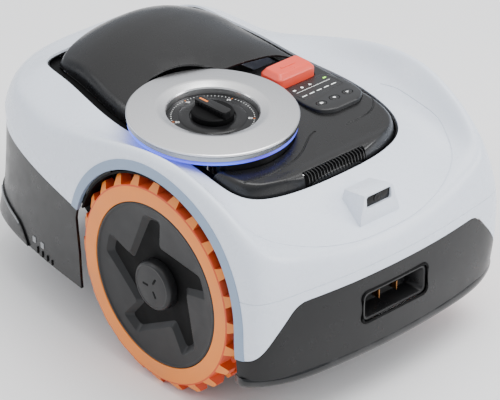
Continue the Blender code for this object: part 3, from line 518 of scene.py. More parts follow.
def smooth_path(points, count):
    points = np.asarray(points, float)
    return spline_weights(len(points), np.linspace(0, len(points) - 1, count)) @ points


def smooth_table(table, at):
    """Smooth curve through (position, value) pairs given in millimetres."""
    rows = np.array(table, float)
    x = rows[:, 0] * MM
    v = rows[:, 1]
    slope = np.gradient(v, x)
    i = np.clip(np.searchsorted(x, at) - 1, 0, len(x) - 2)
    h = x[i + 1] - x[i]
    t = np.clip((at - x[i]) / h, 0, 1)
    start = (2 * t ** 3 - 3 * t ** 2 + 1) * v[i] + (t ** 3 - 2 * t ** 2 + t) * h * slope[i]
    return start + (3 * t ** 2 - 2 * t ** 3) * v[i + 1] + (t ** 3 - t ** 2) * h * slope[i + 1]


def tube(name, path, radius, finish, sides=10, closed=False):
    """A round cord of material along a path."""
    path = np.asarray(path, float)
    along = np.gradient(path, axis=0)
    if closed:
        along = np.roll(path, -1, axis=0) - np.roll(path, 1, axis=0)
    along /= np.linalg.norm(along, axis=1, keepdims=True)
    side = np.cross(along, (0, 0, 1))
    side /= np.maximum(np.linalg.norm(side, axis=1, keepdims=True), 1e-9)
    up = np.cross(side, along)
    rings = []
    for point, s, u in zip(path, side, up):
        angles = np.linspace(0, 2 * math.pi, sides, endpoint=False)
        rings.append(point + radius * np.outer(np.cos(angles), s) + radius * np.outer(np.sin(angles), u))
    return loft(name, rings, finish, closed, 60)


# ---------------------------------------------------------------- body shells

def body_cage():
    half = np.array(list(BODY_LINES.values()), float) * MM
    mirrored = half[:, 1:-1][:, ::-1] * (-1, 1, 1)
    return np.concatenate([half, mirrored], axis=1)


def body_surface(columns, steps):
    """Points of the body's outer surface, as rows of closed rings from the hood opening downwards."""
    cage = body_cage()
    wrap = 4
    rows, stations = cage.shape[:2]
    looped = np.concatenate([cage[:, -wrap:], cage, cage[:, :wrap + 1]], axis=1)
    across = spline_weights(looped.shape[1], wrap + np.arange(columns) * stations / columns)
    down = spline_weights(rows, np.linspace(0, rows - 1, (rows - 1) * steps + 1))
    return np.einsum("ab,bcd,ec->aed", down, looped, across)


def grid_normals(grid):
    along = np.roll(grid, -1, axis=1) - np.roll(grid, 1, axis=1)
    down = np.gradient(grid, axis=0)
    normal = np.cross(down, along)
    return normal / np.linalg.norm(normal, axis=2, keepdims=True)


SURFACE = body_surface(SHELL_COLUMNS, SHELL_STEPS)
NORMALS = grid_normals(SURFACE)


def surface_tree():
    rows, columns = SURFACE.shape[:2]
    points = [Vector(p) for p in SURFACE.reshape(-1, 3)]
    faces = []
    for r in range(rows - 1):
        for c in range(columns):
            n = (c + 1) % columns
            faces.append((r * columns + c, r * columns + n, (r + 1) * columns + n, (r + 1) * columns + c))
    return BVHTree.FromPolygons(points, faces)


TREE = surface_tree()


def on_body(path, lift=0.0):
    """The nearest points on the body's outer surface, moved outwards by lift."""
    placed = []
    for point in path:
        hit, _, index, _ = TREE.find_nearest(Vector(point))
        row, column = divmod(index, SHELL_COLUMNS)
        placed.append(np.array(hit) + NORMALS[row, column] * lift)
    return np.array(placed)


def body_shell(name, finish, lift=0.0, wall=SHELL_WALL):
    outer = SURFACE + NORMALS * lift
    inner = SURFACE - NORMALS * (wall - lift)
    return loft(name, list(outer) + list(inner[::-1]), finish, closed=True)


def arch_outline(grow=0.0):
    radius = ARCH_RADIUS + grow
    angles = np.linspace(math.pi, math.radians(12), 72)
    arc = [(radius * math.cos(a), WHEEL_RADIUS + radius * math.sin(a)) for a in angles]
    return [(-radius, 20 * MM)] + arc + [(ARCH_REAR_Y + grow, 100 * MM), (ARCH_REAR_Y + grow, 20 * MM)]


def bumper_outline(shrink=0.0):
    right = [(x * MM - shrink, z * MM - shrink) for x, z in BUMPER_HALF]
    return fillet([(-x, z) for x, z in reversed(right)] + right, 12 * MM)


def skirt_outline(shrink=0.0):
    top = [(y * MM, z * MM - shrink) for y, z in SKIRT_TOP]
    return [(90 * MM, 30 * MM), (90 * MM, top[0][1])] + top + [(345 * MM, 30 * MM)]


def arch_tools():
    return [side_prism(f"arch_{side}", arch_outline(), side * ARCH_CUT_X, side * BEYOND) for side, _ in SIDES]


def mirrored_path(half):
    half = np.asarray(half, float)
    return np.concatenate([half[::-1], half[1:] * (-1, 1, 1)])


def level_path(z):
    """Where the body's outer surface crosses a height in front of the wheels."""
    heights = SURFACE[:, :, 2]
    path = []
    for column in range(SHELL_COLUMNS):
        line = SURFACE[:, column]
        below = np.nonzero(heights[:, column] < z)[0]
        low = below[below > NOSE_FIRST_ROW][0]
        share = (z - heights[low, column]) / (heights[low - 1, column] - heights[low, column])
        point = line[low] * (1 - share) + line[low - 1] * share
        if point[1] < NOSE_END_Y:
            path.append(point)
    path.sort(key=lambda point: point[0])
    return path


def top_shell():
    shell = body_shell("top_shell_skin", WHITE)
    crease = on_body(smooth_path(mirrored_path(CREASE) * MM, 150))
    carve(shell, arch_tools() + [
        front_prism("nose", bumper_outline(), -BEYOND, -108 * MM),
        side_prism("rear", skirt_outline(), -BEYOND, BEYOND),
        tube("groove_tool", crease, 0.55 * MM, None, 8),
        tube("parting_tool", level_path(153 * MM), 0.5 * MM, None, 8),
    ], angle=32)
    settle(shell, "chassis", ["top_shell"])


def arch_lips():
    """Grey-blue band that lines the edge of each wheel arch, standing slightly proud. Its darker grey-blue is
    partly the lip's own tint and partly painted shade, since the band lies flat on the shell where the real lip
    turns inward.
    """
    for side, label in SIDES:
        band = body_shell("arch_lip_" + label, LIP, 0.7 * MM, SHELL_WALL + 1.6 * MM)
        outer = side_prism("outer", arch_outline(LIP_WIDTH), side * 155 * MM, side * BEYOND)
        carve(band, [
            side_prism("inner", arch_outline(-0.6 * MM), side * ARCH_CUT_X, side * 230 * MM),
            front_prism("nose", bumper_outline(), -BEYOND, -100 * MM),
            side_prism("rear", skirt_outline(), -230 * MM, 230 * MM),
        ], within=outer)
        settle(band, "chassis")


def front_bumper():
    skin = body_shell("bumper_skin", BLACK)
    nose = front_prism("nose", bumper_outline(0.5 * MM), -BEYOND, -108.5 * MM)
    port = rounded(90 * MM, 36 * MM, 7 * MM, (0, PORT_CENTRE_Z))
    carve(skin, arch_tools() + [front_prism("port", port, -BEYOND, -130 * MM)], within=nose)
    settle(skin, "bumper", ["front_bumper"])


def bumper_strip():
    """Glossy rubber edge along the foot of the bumper, from arch to arch."""
    half = np.array(BODY_LINES["bottom"][:4] + [(171, -122, 66)], float) * MM
    line = smooth_path(mirrored_path(half), 90)
    inward = np.c_[-line[:, 0] * 0.25, 60 * MM - line[:, 1] * 0.35, line[:, 2] * 0]
    inward /= np.linalg.norm(inward, axis=1, keepdims=True)
    section = [(8, -7.6), (0.6, -7.6), (-0.9, -6.4), (-1.3, -3.4), (-0.8, -0.6), (0.4, 1.4), (8, 1.0)]
    rings = []
    for point, step in zip(line, inward):
        rings.append([point + step * across * MM + np.array((0, 0, up * MM)) for across, up in section])
    strip = loft("rubber_edge", rings, BLACK_RUBBER, smooth=50)
    settle(strip, "bumper", ["bumper_strip"])


def charging_port():
    """Funnel with sloping walls behind a raised frame, and a dark slot at its floor."""
    def ring(width, height, radius, y):
        return [(x, y, z) for x, z in rounded(width * MM, height * MM, radius * MM, (0, PORT_CENTRE_Z))]

    walls = [ring(89, 35, 7, -159.5 * MM), ring(84, 30, 6, -161 * MM), ring(80, 26, 5, -160.5 * MM),
             ring(64, 18, 3, -148 * MM), ring(62, 17, 3, -143.5 * MM)]
    floor = [ring(4, 2, 0.8, -143.3 * MM), ring(4, 2, 0.8, -139 * MM), ring(89, 35, 7, -139 * MM)]
    tray = loft("port_funnel", walls + floor, BLACK, closed=True, smooth=30)
    settle(tray, "bumper", ["charging_socket"])
    frame_path = [(x, -161.9 * MM, z) for x, z in rounded(89 * MM, 35 * MM, 7 * MM, (0, PORT_CENTRE_Z))]
    trim = tube("port_frame", frame_path, 1.5 * MM, DARK, 8, closed=True)
    settle(trim, "bumper")
    for side, label in SIDES:
        x = side * 12 * MM
        blade = box("contact_blade_" + label, (x - 0.6 * MM, -152 * MM, 102.5 * MM),
                    (x + 0.6 * MM, -143 * MM, 112.5 * MM), BRASS)
        settle(soften(blade, 0.25 * MM), "bumper", ["charge_contact_" + label])


def rear_skirt():
    skin = body_shell("skirt_skin", BLACK)
    rear = side_prism("rear", skirt_outline(0.5 * MM), -BEYOND, BEYOND)
    carve(skin, arch_tools(), within=rear)
    settle(skin, "chassis", ["rear_skirt"])


def skirt_step():
    """Second layer along the skirt's foot with a grey strip on its edge that paints the edge's highlight, and
    the comb slots beside it.
    """
    for side, label in SIDES:
        layer = body_shell("skirt_layer_" + label, BLACK, 1.8 * MM, SHELL_WALL)
        outline = fillet(mm([(214, 40), (214, 58), (226, 72), (236, 78), (360, 93), (360, 40)]), 7 * MM)
        zone = side_prism("zone", outline, *sorted((side * 30 * MM, side * 230 * MM)))
        carve(layer, [], within=zone)
        settle(soften(layer, 0.6 * MM), "chassis")
        # A grey tube along the layer's top edge paints the highlight that this edge catches.
        edge = [(232, 74.5), (238, 77.0), (252, 79.0), (270, 81.4), (290, 84), (308, 86.5)]
        line = on_body([(side * 140 * MM, y * MM, z * MM) for y, z in smooth_path(edge, 40)], 1.7 * MM)
        settle(tube("skirt_painted_highlight_" + label, line, 1.1 * MM, GREY, 10), "chassis")
        marks = []
        for i, (y, z) in enumerate(((203, 72.5), (186, 73.5))):
            low = on_body([(side * 160 * MM, y * MM, (z - 3) * MM)], 0)[0]
            high = on_body([(side * 160 * MM, y * MM, (z + 3) * MM)], 0)[0]
            middle = (low + high) / 2
            square = prism(f"mark_{i}", rounded(6.0 * MM, 6.6 * MM, 1.2 * MM), -1 * MM, 0.7 * MM, GREY)
            marks.append(place(square, middle, (math.radians(90), 0, side * math.radians(97))))
        settle(join("skirt_marks_" + label, marks), "chassis")
        slots = []
        for i, (y, top) in enumerate(((196, 67), (186, 66), (176, 66), (167, 65))):
            path = on_body([(side * 160 * MM, y * MM, z * MM) for z in np.linspace(60, top, 6)], 0.1 * MM)
            slots.append(tube(f"slot_{i}", path, 1.3 * MM, DARK, 8))
        settle(join("skirt_slots_" + label, slots), "chassis")


# ---------------------------------------------------------------- hood and console

def opening_line(inset, drop):
    """The opening's edge, moved inwards and lowered."""
    ring = body_surface(DECK_COLUMNS, 1)[0]
    along = np.roll(ring, -1, axis=0) - np.roll(ring, 1, axis=0)
    inward = np.c_[-along[:, 1], along[:, 0], np.zeros(len(ring))]
    inward /= np.linalg.norm(inward, axis=1, keepdims=True)
    return ring + inward * inset - (0, 0, drop)


def hood_height(x, y):
    """Crowned from the ridge down to the side edges."""
    ridge = smooth_table(HOOD_RIDGE, y)
    share = np.minimum(np.abs(x) / (smooth_table(HOOD_HALF, y) * MM), 1)
    return (ridge - (ridge - smooth_table(HOOD_EDGE, y)) * share ** HOOD_CROWN) * MM


def console_height(_, y):
    """Level from side to side."""
    return smooth_table(CONSOLE_RIDGE, y) * MM


def deck_rings(height, spine, inset, wall):
    """Rings from the deck's edge to its spine, which runs between two places on y; wall lowers the surface."""
    edge = opening_line(inset + wall, DECK_DROP)
    middle = np.c_[edge[:, 0] * 0.05, np.interp(edge[:, 1], (-0.08, 0.27), spine)]
    rings = []
    for share in np.linspace(0, 1, DECK_RINGS) ** DECK_SPACING:
        flat = edge[:, :2] * (1 - share) + middle * share
        rise = 1 - (1 - min(share / DECK_RISE_SHARE, 1)) ** 3
        crown = np.maximum(height(flat[:, 0], flat[:, 1]), edge[:, 2] + 3 * MM) - wall
        level = edge[:, 2] * (1 - rise) + crown * rise
        rings.append(np.c_[flat, level])
    return rings


def deck_skin(name, height, spine, inset, finish):
    outer = deck_rings(height, spine, inset, 0)
    inner = deck_rings(height, spine, inset, DECK_WALL)
    return loft(name, outer[::-1] + inner, finish, mirrored=True)


def on_dial(obj, turn=0.0):
    return place(obj, (DIAL_X, DIAL_Y, DIAL_Z), (DIAL_LEAN, 0, turn))


def dial_well(radius):
    return on_dial(revolve("well", [(radius, -60 * MM), (radius, 60 * MM)], None, 96, closed=False))


def hood():
    cover = deck_skin("hood_skin", hood_height, (60 * MM, 200 * MM), HOOD_INSET, HOOD)
    front = [(-140, -100), (140, -100), (140, 70), (99, 76), (94, 92), (82, 99), (-20, 99), (-140, 99)]
    front = fillet(np.array(front) * MM, 9 * MM)
    carve(cover, [prism("front", front, CUT_LOW, CUT_HIGH), dial_well(DISC_RADIUS + 1.5 * MM)])
    settle(cover, "chassis", ["hood"])


def console():
    deck = deck_skin("console_skin", console_height, (-40 * MM, 180 * MM), CONSOLE_INSET, HOOD)
    rear = [(-140, 40), (-20, 40), (-20, 98.4), (81.7, 98.4), (93.4, 91.6), (98.4, 75.6), (140, 69.4),
            (140, 300), (-140, 300)]
    stop = rounded(STOP_SIZE[0] + 1.6 * MM, STOP_SIZE[1] + 1.6 * MM, 6.5 * MM, STOP_CENTRE)
    vent = rounded(2 * VENT_HALF_WIDTH, 7.2 * MM, 2 * MM, (0, -74.6 * MM), 3)
    arc = smooth_path([(18, -29, 226), (4, -34, 225), (-16, -46, 224), (-41, -54, 222.5), (-76, -56, 222.5),
                       (-104, -50, 221)], 70) * MM
    arc[:, 2] = console_height(arc[:, 0], arc[:, 1])
    side = smooth_path([(112, 24, 230), (112, 10, 230), (109, -12, 230), (98, -29, 230), (80, -37, 230),
                        (50, -38, 230)], 60) * MM
    side[:, 2] = console_height(side[:, 0], side[:, 1])
    carve(deck, [
        prism("rear", mm(rear), CUT_LOW, CUT_HIGH),
        dial_well(83 * MM),
        prism("stop", stop, CUT_LOW, CUT_HIGH),
        prism("panel", panel_outline(0.4 * MM), CUT_LOW, CUT_HIGH),
        prism("vent", vent, CUT_LOW, CUT_HIGH),
        tube("arc", arc, 1.0 * MM, None, 8),
        tube("side", side, 1.1 * MM, None, 8),
    ])
    settle(deck, "chassis", ["console"])


def opening_trim():
    """Thin polished lip between the hood and the white shell."""
    path = opening_line(1.7 * MM, 2.6 * MM)
    trim = tube("opening_trim", path, 1.0 * MM, BLACK, 8, closed=True)
    settle(trim, "chassis")


def vent():
    """Curved ribs over a dark slot in the console's front slope."""
    back = side_prism("vent_back", np.array([(-77.6, 205), (-71.4, 205), (-71.4, 216), (-77.6, 209)]) * MM,
                      -40 * MM, 40 * MM, DARK)
    ribs = [back]
    count = 19
    for i in range(count):
        x = (-39 + 78 * (i + 0.5) / count) * MM
        rings = []
        for t in np.linspace(0, 1, 6):
            y = (-71.2 - 8.2 * t) * MM
            z = (219.6 - 7.8 * t + 1.2 * math.sin(math.pi * t)) * MM
            bend = x + 1.7 * MM * math.sin(math.pi * t) - 0.6 * MM
            rings.append([(bend - 0.75 * MM, y, z - 2.5 * MM), (bend + 0.75 * MM, y, z - 2.5 * MM),
                          (bend + 0.55 * MM, y, z), (bend - 0.55 * MM, y, z)])
        ribs.append(loft(f"rib_{i}", rings, BLACK))
    grille = join("vent_ribs", ribs)
    settle(grille, "chassis", ["vent_grille"])


# ---------------------------------------------------------------- dial

def dial():
    edge = DISC_RADIUS / MM
    profile = [(edge - 1.2, 1.6), (edge - 0.3, 1.0), (edge, 0.2), (edge, -0.6), (edge - 1.6, -1.0), (70, -2),
               (48, -8), (46.4, -8), (46.4, 0.6), (47.2, 2.2), (54, 5.0), (56, 5.5), (58, 5.45)]
    disc = revolve("disc_top", mm(profile), BRUSHED, 192, smooth=25)
    settle(on_dial(disc), "chassis", ["dial_disc"])
    band = [(edge - 1.4, -1.3), (edge - 0.5, -1.9), (edge - 0.7, -6.2), (edge - 2.2, -7.6), (70, -7.6),
            (70, -2.4)]
    side = revolve("disc_edge_band", mm(band), EDGE_METAL, 192, smooth=25)
    settle(on_dial(side), "chassis")
    ring = [(edge - 2.4, -7.9), (edge - 1.5, -8.6), (edge - 1.5, -10.4), (edge - 2.4, -11.2), (66, -11.2),
            (66, -7.9)]
    light = revolve("glow_ring", mm(ring), RING_GLOW, 192)
    settle(on_dial(light), "chassis", ["light_ring"])
    skirt = [(edge - 3.2, -11.6), (edge - 3.6, -14), (edge - 4.2, -24), (edge - 6, -31), (edge - 11, -31),
             (edge - 11, -16), (58, -16), (58, -11.6)]
    base = revolve("disc_skirt", mm(skirt), BLACK, 192)
    on_dial(base)
    trim = box("side", (-210 * MM, -100 * MM, 150 * MM), (-100 * MM, 200 * MM, 240 * MM))
    carve(base, [trim])
    settle(base, "chassis", ["disc_base"])


def numeral(number, angle):
    """One number of the scale as a solid, at its angle round the dial."""
    curve = bpy.data.curves.new("numeral_" + number, "FONT")
    curve.body = number
    curve.size = 4.6 * MM
    curve.extrude = 0.08 * MM
    curve.align_x = "CENTER"
    curve.align_y = "CENTER"
    text = bpy.data.objects.new("numeral_" + number, curve)
    bpy.context.scene.collection.objects.link(text)
    bpy.context.view_layer.update()
    mesh = bpy.data.meshes.new_from_object(text.evaluated_get(bpy.context.evaluated_depsgraph_get()))
    bpy.data.objects.remove(text)
    mesh.materials.clear()
    mesh.materials.append(PRINT)
    solid = bpy.data.objects.new("numeral_mesh_" + number, mesh)
    bpy.context.scene.collection.objects.link(solid)
    return place(solid, (36.9 * MM * math.cos(angle), 36.9 * MM * math.sin(angle), -4.82 * MM),
                 (0, 0, math.radians(-43)))


def dial_face():
    """Recessed scale plate with ticks, marks and numerals in millimetres of cutting height."""
    profile = [(46.0, -7.2), (45.6, -5.2), (44.4, -4.9), (34.2, -4.9), (33.4, -4.2), (32.6, -3.9), (24, -2.9),
               (23, -3.3), (22.6, -4.6), (7, -4.8), (7, -9), (46, -9)]
    plate = revolve("scale_plate", mm(profile), BLACK, 128, smooth=30)
    settle(on_dial(plate), "chassis", ["dial_plate"])
    ticks = []
    marks = []
    for i in range(72):
        angle = 2 * math.pi * i / 72
        marked = i in (18, 31, 45, 4, 63)
        length = 2.6 if marked else 1.3
        flat = [(41.9 - length, -0.32), (41.9, -0.32), (41.9, 0.32), (41.9 - length, 0.32)]
        turn = np.array(((math.cos(angle), -math.sin(angle)), (math.sin(angle), math.cos(angle))))
        outline = np.array(flat) * MM @ turn.T
        finish = ORANGE_MARK if marked else PRINT
        (marks if marked else ticks).append(prism(f"tick_{i}", outline, -4.95 * MM, -4.78 * MM, finish))
    settle(on_dial(join("scale_ticks", ticks)), "chassis")
    settle(on_dial(join("scale_marks", marks)), "chassis")
    places = (("40", 90), ("50", 157.5), ("60", 225), ("30", 22.5), ("20", -45))
    numerals = [numeral(number, math.radians(degrees)) for number, degrees in places]
    settle(on_dial(join("scale_numerals", numerals)), "chassis")


def knob():
    base = [(5.6, -4.2), (21.2, -4.2), (21.4, -1), (21.0, 1.6), (19.6, 2.8), (5.6, 3.2)]
    disc = revolve("knob_base", mm(base), DARK, 96, closed=False)
    settle(on_dial(disc), "knob", ["height_knob"])
    bar = prism("knob_grip", rounded(43 * MM, 10.4 * MM, 2.6 * MM), 1 * MM, 9.5 * MM, BLACK)
    slot = prism("slot", rounded(12 * MM, 2.6 * MM, 0.6 * MM, (-12.6 * MM, 0)), 9.0 * MM, 12 * MM)
    carve(bar, [slot])
    soften(bar, 0.7 * MM, 3)
    ribs = []
    for side in (-1, 1):
        for i in range(18):
            x = (-17 + 2 * i) * MM
            y = side * 5.2 * MM
            ribs.append(box(f"rib_{side}_{i}", (x - 0.45 * MM, min(y, y + side * 0.55 * MM), 1.4 * MM),
                            (x + 0.45 * MM, max(y, y + side * 0.55 * MM), 7.8 * MM), BLACK))
    grip = join("knob_grip", [bar] + ribs)
    settle(on_dial(grip, GRIP_TURN), "knob")
    mark = rounded(11.2 * MM, 2.0 * MM, 0.5 * MM, (-12.6 * MM, 0))
    pointer = prism("grip_pointer", mark, 8.95 * MM, 9.45 * MM, ORANGE_MARK)
    settle(on_dial(pointer, GRIP_TURN), "knob", ["knob_pointer"])


# ---------------------------------------------------------------- keypad and stop button

def panel_outline(grow=0.0):
    flat = np.array([(48, 47), (42, 30), (40, 8), (43, -9), (54, -17), (92, -17), (104, -8), (108, 14),
                     (104, 40), (97, 47)]) * MM
    centre = flat.mean(axis=0)
    away = flat - centre
    flat = flat + away / np.linalg.norm(away, axis=1, keepdims=True) * grow
    return fillet(flat, 6 * MM)


def stop_button():
    """Coral press button: straight skirt, bevelled shoulders and a shallow dished top."""
    rings = []
    for shrink, level in ((0, 226), (0, 240.6), (0.25, 241.6), (0.9, 242.4), (3.9, 246.2), (4.6, 246.8),
                          (5.6, 247.0), (9, 246.7)):
        size = (STOP_SIZE[0] - 2 * shrink * MM, STOP_SIZE[1] - 2 * shrink * MM)
        flat = rounded(*size, max(6 - 0.5 * shrink, 1.2) * MM, steps=8)
        rings.append([(x, y, (level - 226) * MM) for x, y in flat])
    cap = loft("stop_cap", rings, CORAL, smooth=40)
    settle(place(cap, (*STOP_CENTRE, 226 * MM)), "stop", ["stop_button"])
    bar = prism("stop_bar", rounded(20 * MM, 3.4 * MM, 1.6 * MM), 20.75 * MM, 21.15 * MM, CORAL)
    settle(place(bar, (*STOP_CENTRE, 226 * MM)), "stop")


def polygon(radius, corners):
    angles = np.linspace(0, 2 * math.pi, corners, endpoint=False)
    return [(radius * math.cos(angle), radius * math.sin(angle)) for angle in angles]


def keypad():
    flat = np.array(panel_outline())
    centre = flat.mean(axis=0)
    rings = []
    for share, level in ((1.0, 224), (1.0, 232.4), (0.985, 233.3), (0.96, 233.8), (0.94, 234.0)):
        rings.append(np.c_[centre + (flat - centre) * share, np.full(len(flat), level * MM)])
    panel = loft("keypad_skin", rings, PAD, smooth=40)
    cutters = [prism("hole_" + name, rounded(12.4 * MM, 9.4 * MM, 4.6 * MM, (x, 0)), 220 * MM, 240 * MM)
               for name, x in KEYS.items()]
    groove = [(x, y, PANEL_TOP) for x, y in rounded(54 * MM, 27 * MM, 3 * MM, (73 * MM, 29 * MM))]
    cutters.append(tube("groove", groove, 0.35 * MM, None, 8, closed=True))
    carve(panel, cutters)
    settle(panel, "chassis", ["keypad_panel"])
    for name, x in KEYS.items():
        rings = []
        for shrink, level in ((0, -8), (0, -0.5), (0.35, 0.0), (1.2, 0.2)):
            outline = rounded((11.5 - 2 * shrink) * MM, (8.5 - 2 * shrink) * MM, (4.1 - shrink) * MM)
            rings.append([(u, v, level * MM) for u, v in outline])
        key = loft("key_cap_" + name, rings, HOOD, smooth=40)
        settle(place(key, (x, 0, PANEL_TOP)), name, ["key_" + name])
        sign = {"home": [(-1.9, -1.5), (1.9, -1.5), (1.9, 0.4), (0, 2.1), (-1.9, 0.4)],
                "ok": polygon(1.6, 20),
                "mow": [(-1.4, -1.8), (1.9, 0), (-1.4, 1.8)]}[name]
        mark = prism("key_sign_" + name, np.array(sign) * MM, 0.15 * MM, 0.3 * MM, PRINT)
        settle(place(mark, (x, 0, PANEL_TOP), (0, 0, math.radians(8))), name)


def lamps():
    """Status symbols, a thin line, the green lamp and five charge bars, all flush with the keypad."""
    top = PANEL_TOP
    pieces = []
    shapes = [[(-1.6, -1.2), (1.6, -1.2), (1.6, 1.0), (-1.6, 1.0)],
              polygon(1.7, 6),
              [(-1.7, -1.3), (1.7, -1.3), (0, 1.8)]]
    for x, shape in zip((52, 62.5, 73), shapes):
        flat = np.array(shape) * MM + (x * MM, 37 * MM)
        pieces.append(prism(f"symbol_{x}", flat, top - 0.3 * MM, top + 0.12 * MM, LAMP))
    pieces.append(box("thin_line", (50 * MM, 31.2 * MM, top - 0.3 * MM),
                      (96 * MM, 31.6 * MM, top + 0.1 * MM), LAMP))
    for x in (52, 62, 72, 82, 92):
        outline = rounded(6.6 * MM, 1.2 * MM, 0.5 * MM, (x * MM, 22 * MM), 3)
        pieces.append(prism(f"bar_{x}", outline, top - 0.3 * MM, top + 0.12 * MM, LAMP))
    settle(join("status_marks", pieces), "chassis", ["status_lights"])
    outline = rounded(4.2 * MM, 2.0 * MM, 0.9 * MM, (94 * MM, 37.4 * MM), 4)
    green = prism("green_lamp", outline, top - 0.3 * MM, top + 0.15 * MM, GREEN_LED)
    settle(green, "chassis")


# ---------------------------------------------------------------- camera

def camera_pod():
    def slab(half_low, half_high, front, back, z):
        return [(-half_low * MM, front * MM, z * MM), (half_low * MM, front * MM, z * MM),
                (half_high * MM, back * MM, z * MM), (-half_high * MM, back * MM, z * MM)]

    rings = [slab(26.2, 21, -138.4, -104, 172), slab(26.2, 21, -138.4, -104, 187)]
    crown = slab(19.2, 17, -136.0, -106, 213)
    for corner in (2, 3):
        crown[corner] = (*crown[corner][:2], 207.5 * MM)
    pod = loft("camera_pod", rings + [crown], WHITE)
    glazed = rounded(33 * MM, 12.4 * MM, 2.6 * MM, (0, 204.4 * MM))
    window = front_prism("window", glazed, -150 * MM, -132.4 * MM)
    lens = front_prism("lens", rounded(9 * MM, 9 * MM, 4 * MM, (0, 204.5 * MM)), -133 * MM, -122 * MM)
    carve(pod, [window, lens])
    soften(pod, 1.0 * MM, 3)
    settle(pod, "chassis", ["camera_housing"])
    pane = front_prism("camera_pane", rounded(32.4 * MM, 11.8 * MM, 2.3 * MM, (0, 204.4 * MM)), -134.6 * MM,
                       -132.0 * MM, GLASS)
    settle(soften(pane, 0.3 * MM), "chassis", ["camera_window"])
    profile = [(3.9, 0), (3.9, 9.2), (5.4, 9.4), (5.4, 12.0), (4.6, 12.4), (3.4, 12.1), (0.6, 13.0)]
    eye = revolve("camera_eye", mm(profile), GLASS, 48, closed=False)
    place(eye, (0, -123 * MM, 204.5 * MM), (math.radians(90), 0, 0))
    settle(eye, "chassis", ["camera_lens"])


# ---------------------------------------------------------------- wheels

def star_outline(grow=0.0):
    """Five-armed pinwheel round the hub, its edges moved outwards by grow and its corners rounded."""
    points = []
    for turn in range(5):
        for angle, radius in STAR_ARM:
            heading = math.radians(90 - 72 * turn - angle)
            points.append((radius * MM * math.cos(heading), radius * MM * math.sin(heading)))
    flat = np.array(points)
    ahead = np.roll(flat, -1, axis=0) - flat
    ahead /= np.linalg.norm(ahead, axis=1, keepdims=True)
    behind = np.roll(ahead, 1, axis=0)
    out_ahead = np.c_[-ahead[:, 1], ahead[:, 0]]
    out_behind = np.c_[-behind[:, 1], behind[:, 0]]
    across = out_ahead + out_behind
    moved = flat + across * grow / (1 + np.sum(out_ahead * out_behind, axis=1, keepdims=True))
    return np.array(fillet(moved, 4.5 * MM))


def lug(name, angle, root_z, crown_z, middle_z):
    """Trapezoid lug on the tread; its side face leans in from root_z at the tread to crown_z at the top."""
    c, s = math.cos(angle), math.sin(angle)
    section = ((103.5, 6.6, 0.0), (106.0, 6.0, 0.12), (111.5, 4.4, 0.8), (113.4, 3.7, 1.0),
               (114.0, 2.6, 1.12))
    rings = []
    for outer in (True, False):
        ring = []
        for sign in (-1, 1):
            rows = section if sign < 0 else section[::-1]
            for radius, half, lean in rows:
                z = root_z + (crown_z - root_z) * lean if outer else middle_z
                h = sign * half
                ring.append(((radius * c - h * s) * MM, (radius * s + h * c) * MM, z))
        rings.append(ring)
    return loft(name, rings, TREAD, smooth=30)


def tyre(label, half):
    bore = RIM_RADIUS / MM + 0.2
    edge = TREAD_RADIUS / MM
    h = half / MM
    profile = [(bore, h - 0.4), (bore + 0.6, h), (edge - 2.4, h), (edge - 0.9, h - 0.5),
               (edge - 0.3, h - 1.8), (edge - 0.6, 4), (edge - 1.2, 0), (edge - 0.6, -4),
               (edge - 0.3, -h + 1.8), (edge - 2.4, -h),
               (bore + 0.6, -h), (bore, -h + 0.4)]
    carcass = revolve("tyre_body_" + label, mm(profile), SIDEWALL, 192, smooth=30)
    carcass.data.materials.append(TREAD)
    for face in carcass.data.polygons:
        middle = face.center
        if math.hypot(middle.x, middle.y) > (edge - 2.2) * MM:
            face.material_index = 1
    pieces = [carcass]
    pitch = 2 * math.pi / LUGS
    for i in range(LUGS):
        pieces.append(lug(f"lug_near_{i}", i * pitch, half - 0.3 * MM, half - 6.5 * MM, 0.8 * MM))
        pieces.append(lug(f"lug_far_{i}", (i + 0.5) * pitch, 0.3 * MM - half, 6.5 * MM - half, -0.8 * MM))
    for piece in pieces[1:]:
        piece.data.materials.append(SIDEWALL)
        for face in piece.data.polygons:
            if abs(face.normal.z) > 0.55:
                face.material_index = 1
    return join("tyre_skin_" + label, pieces)


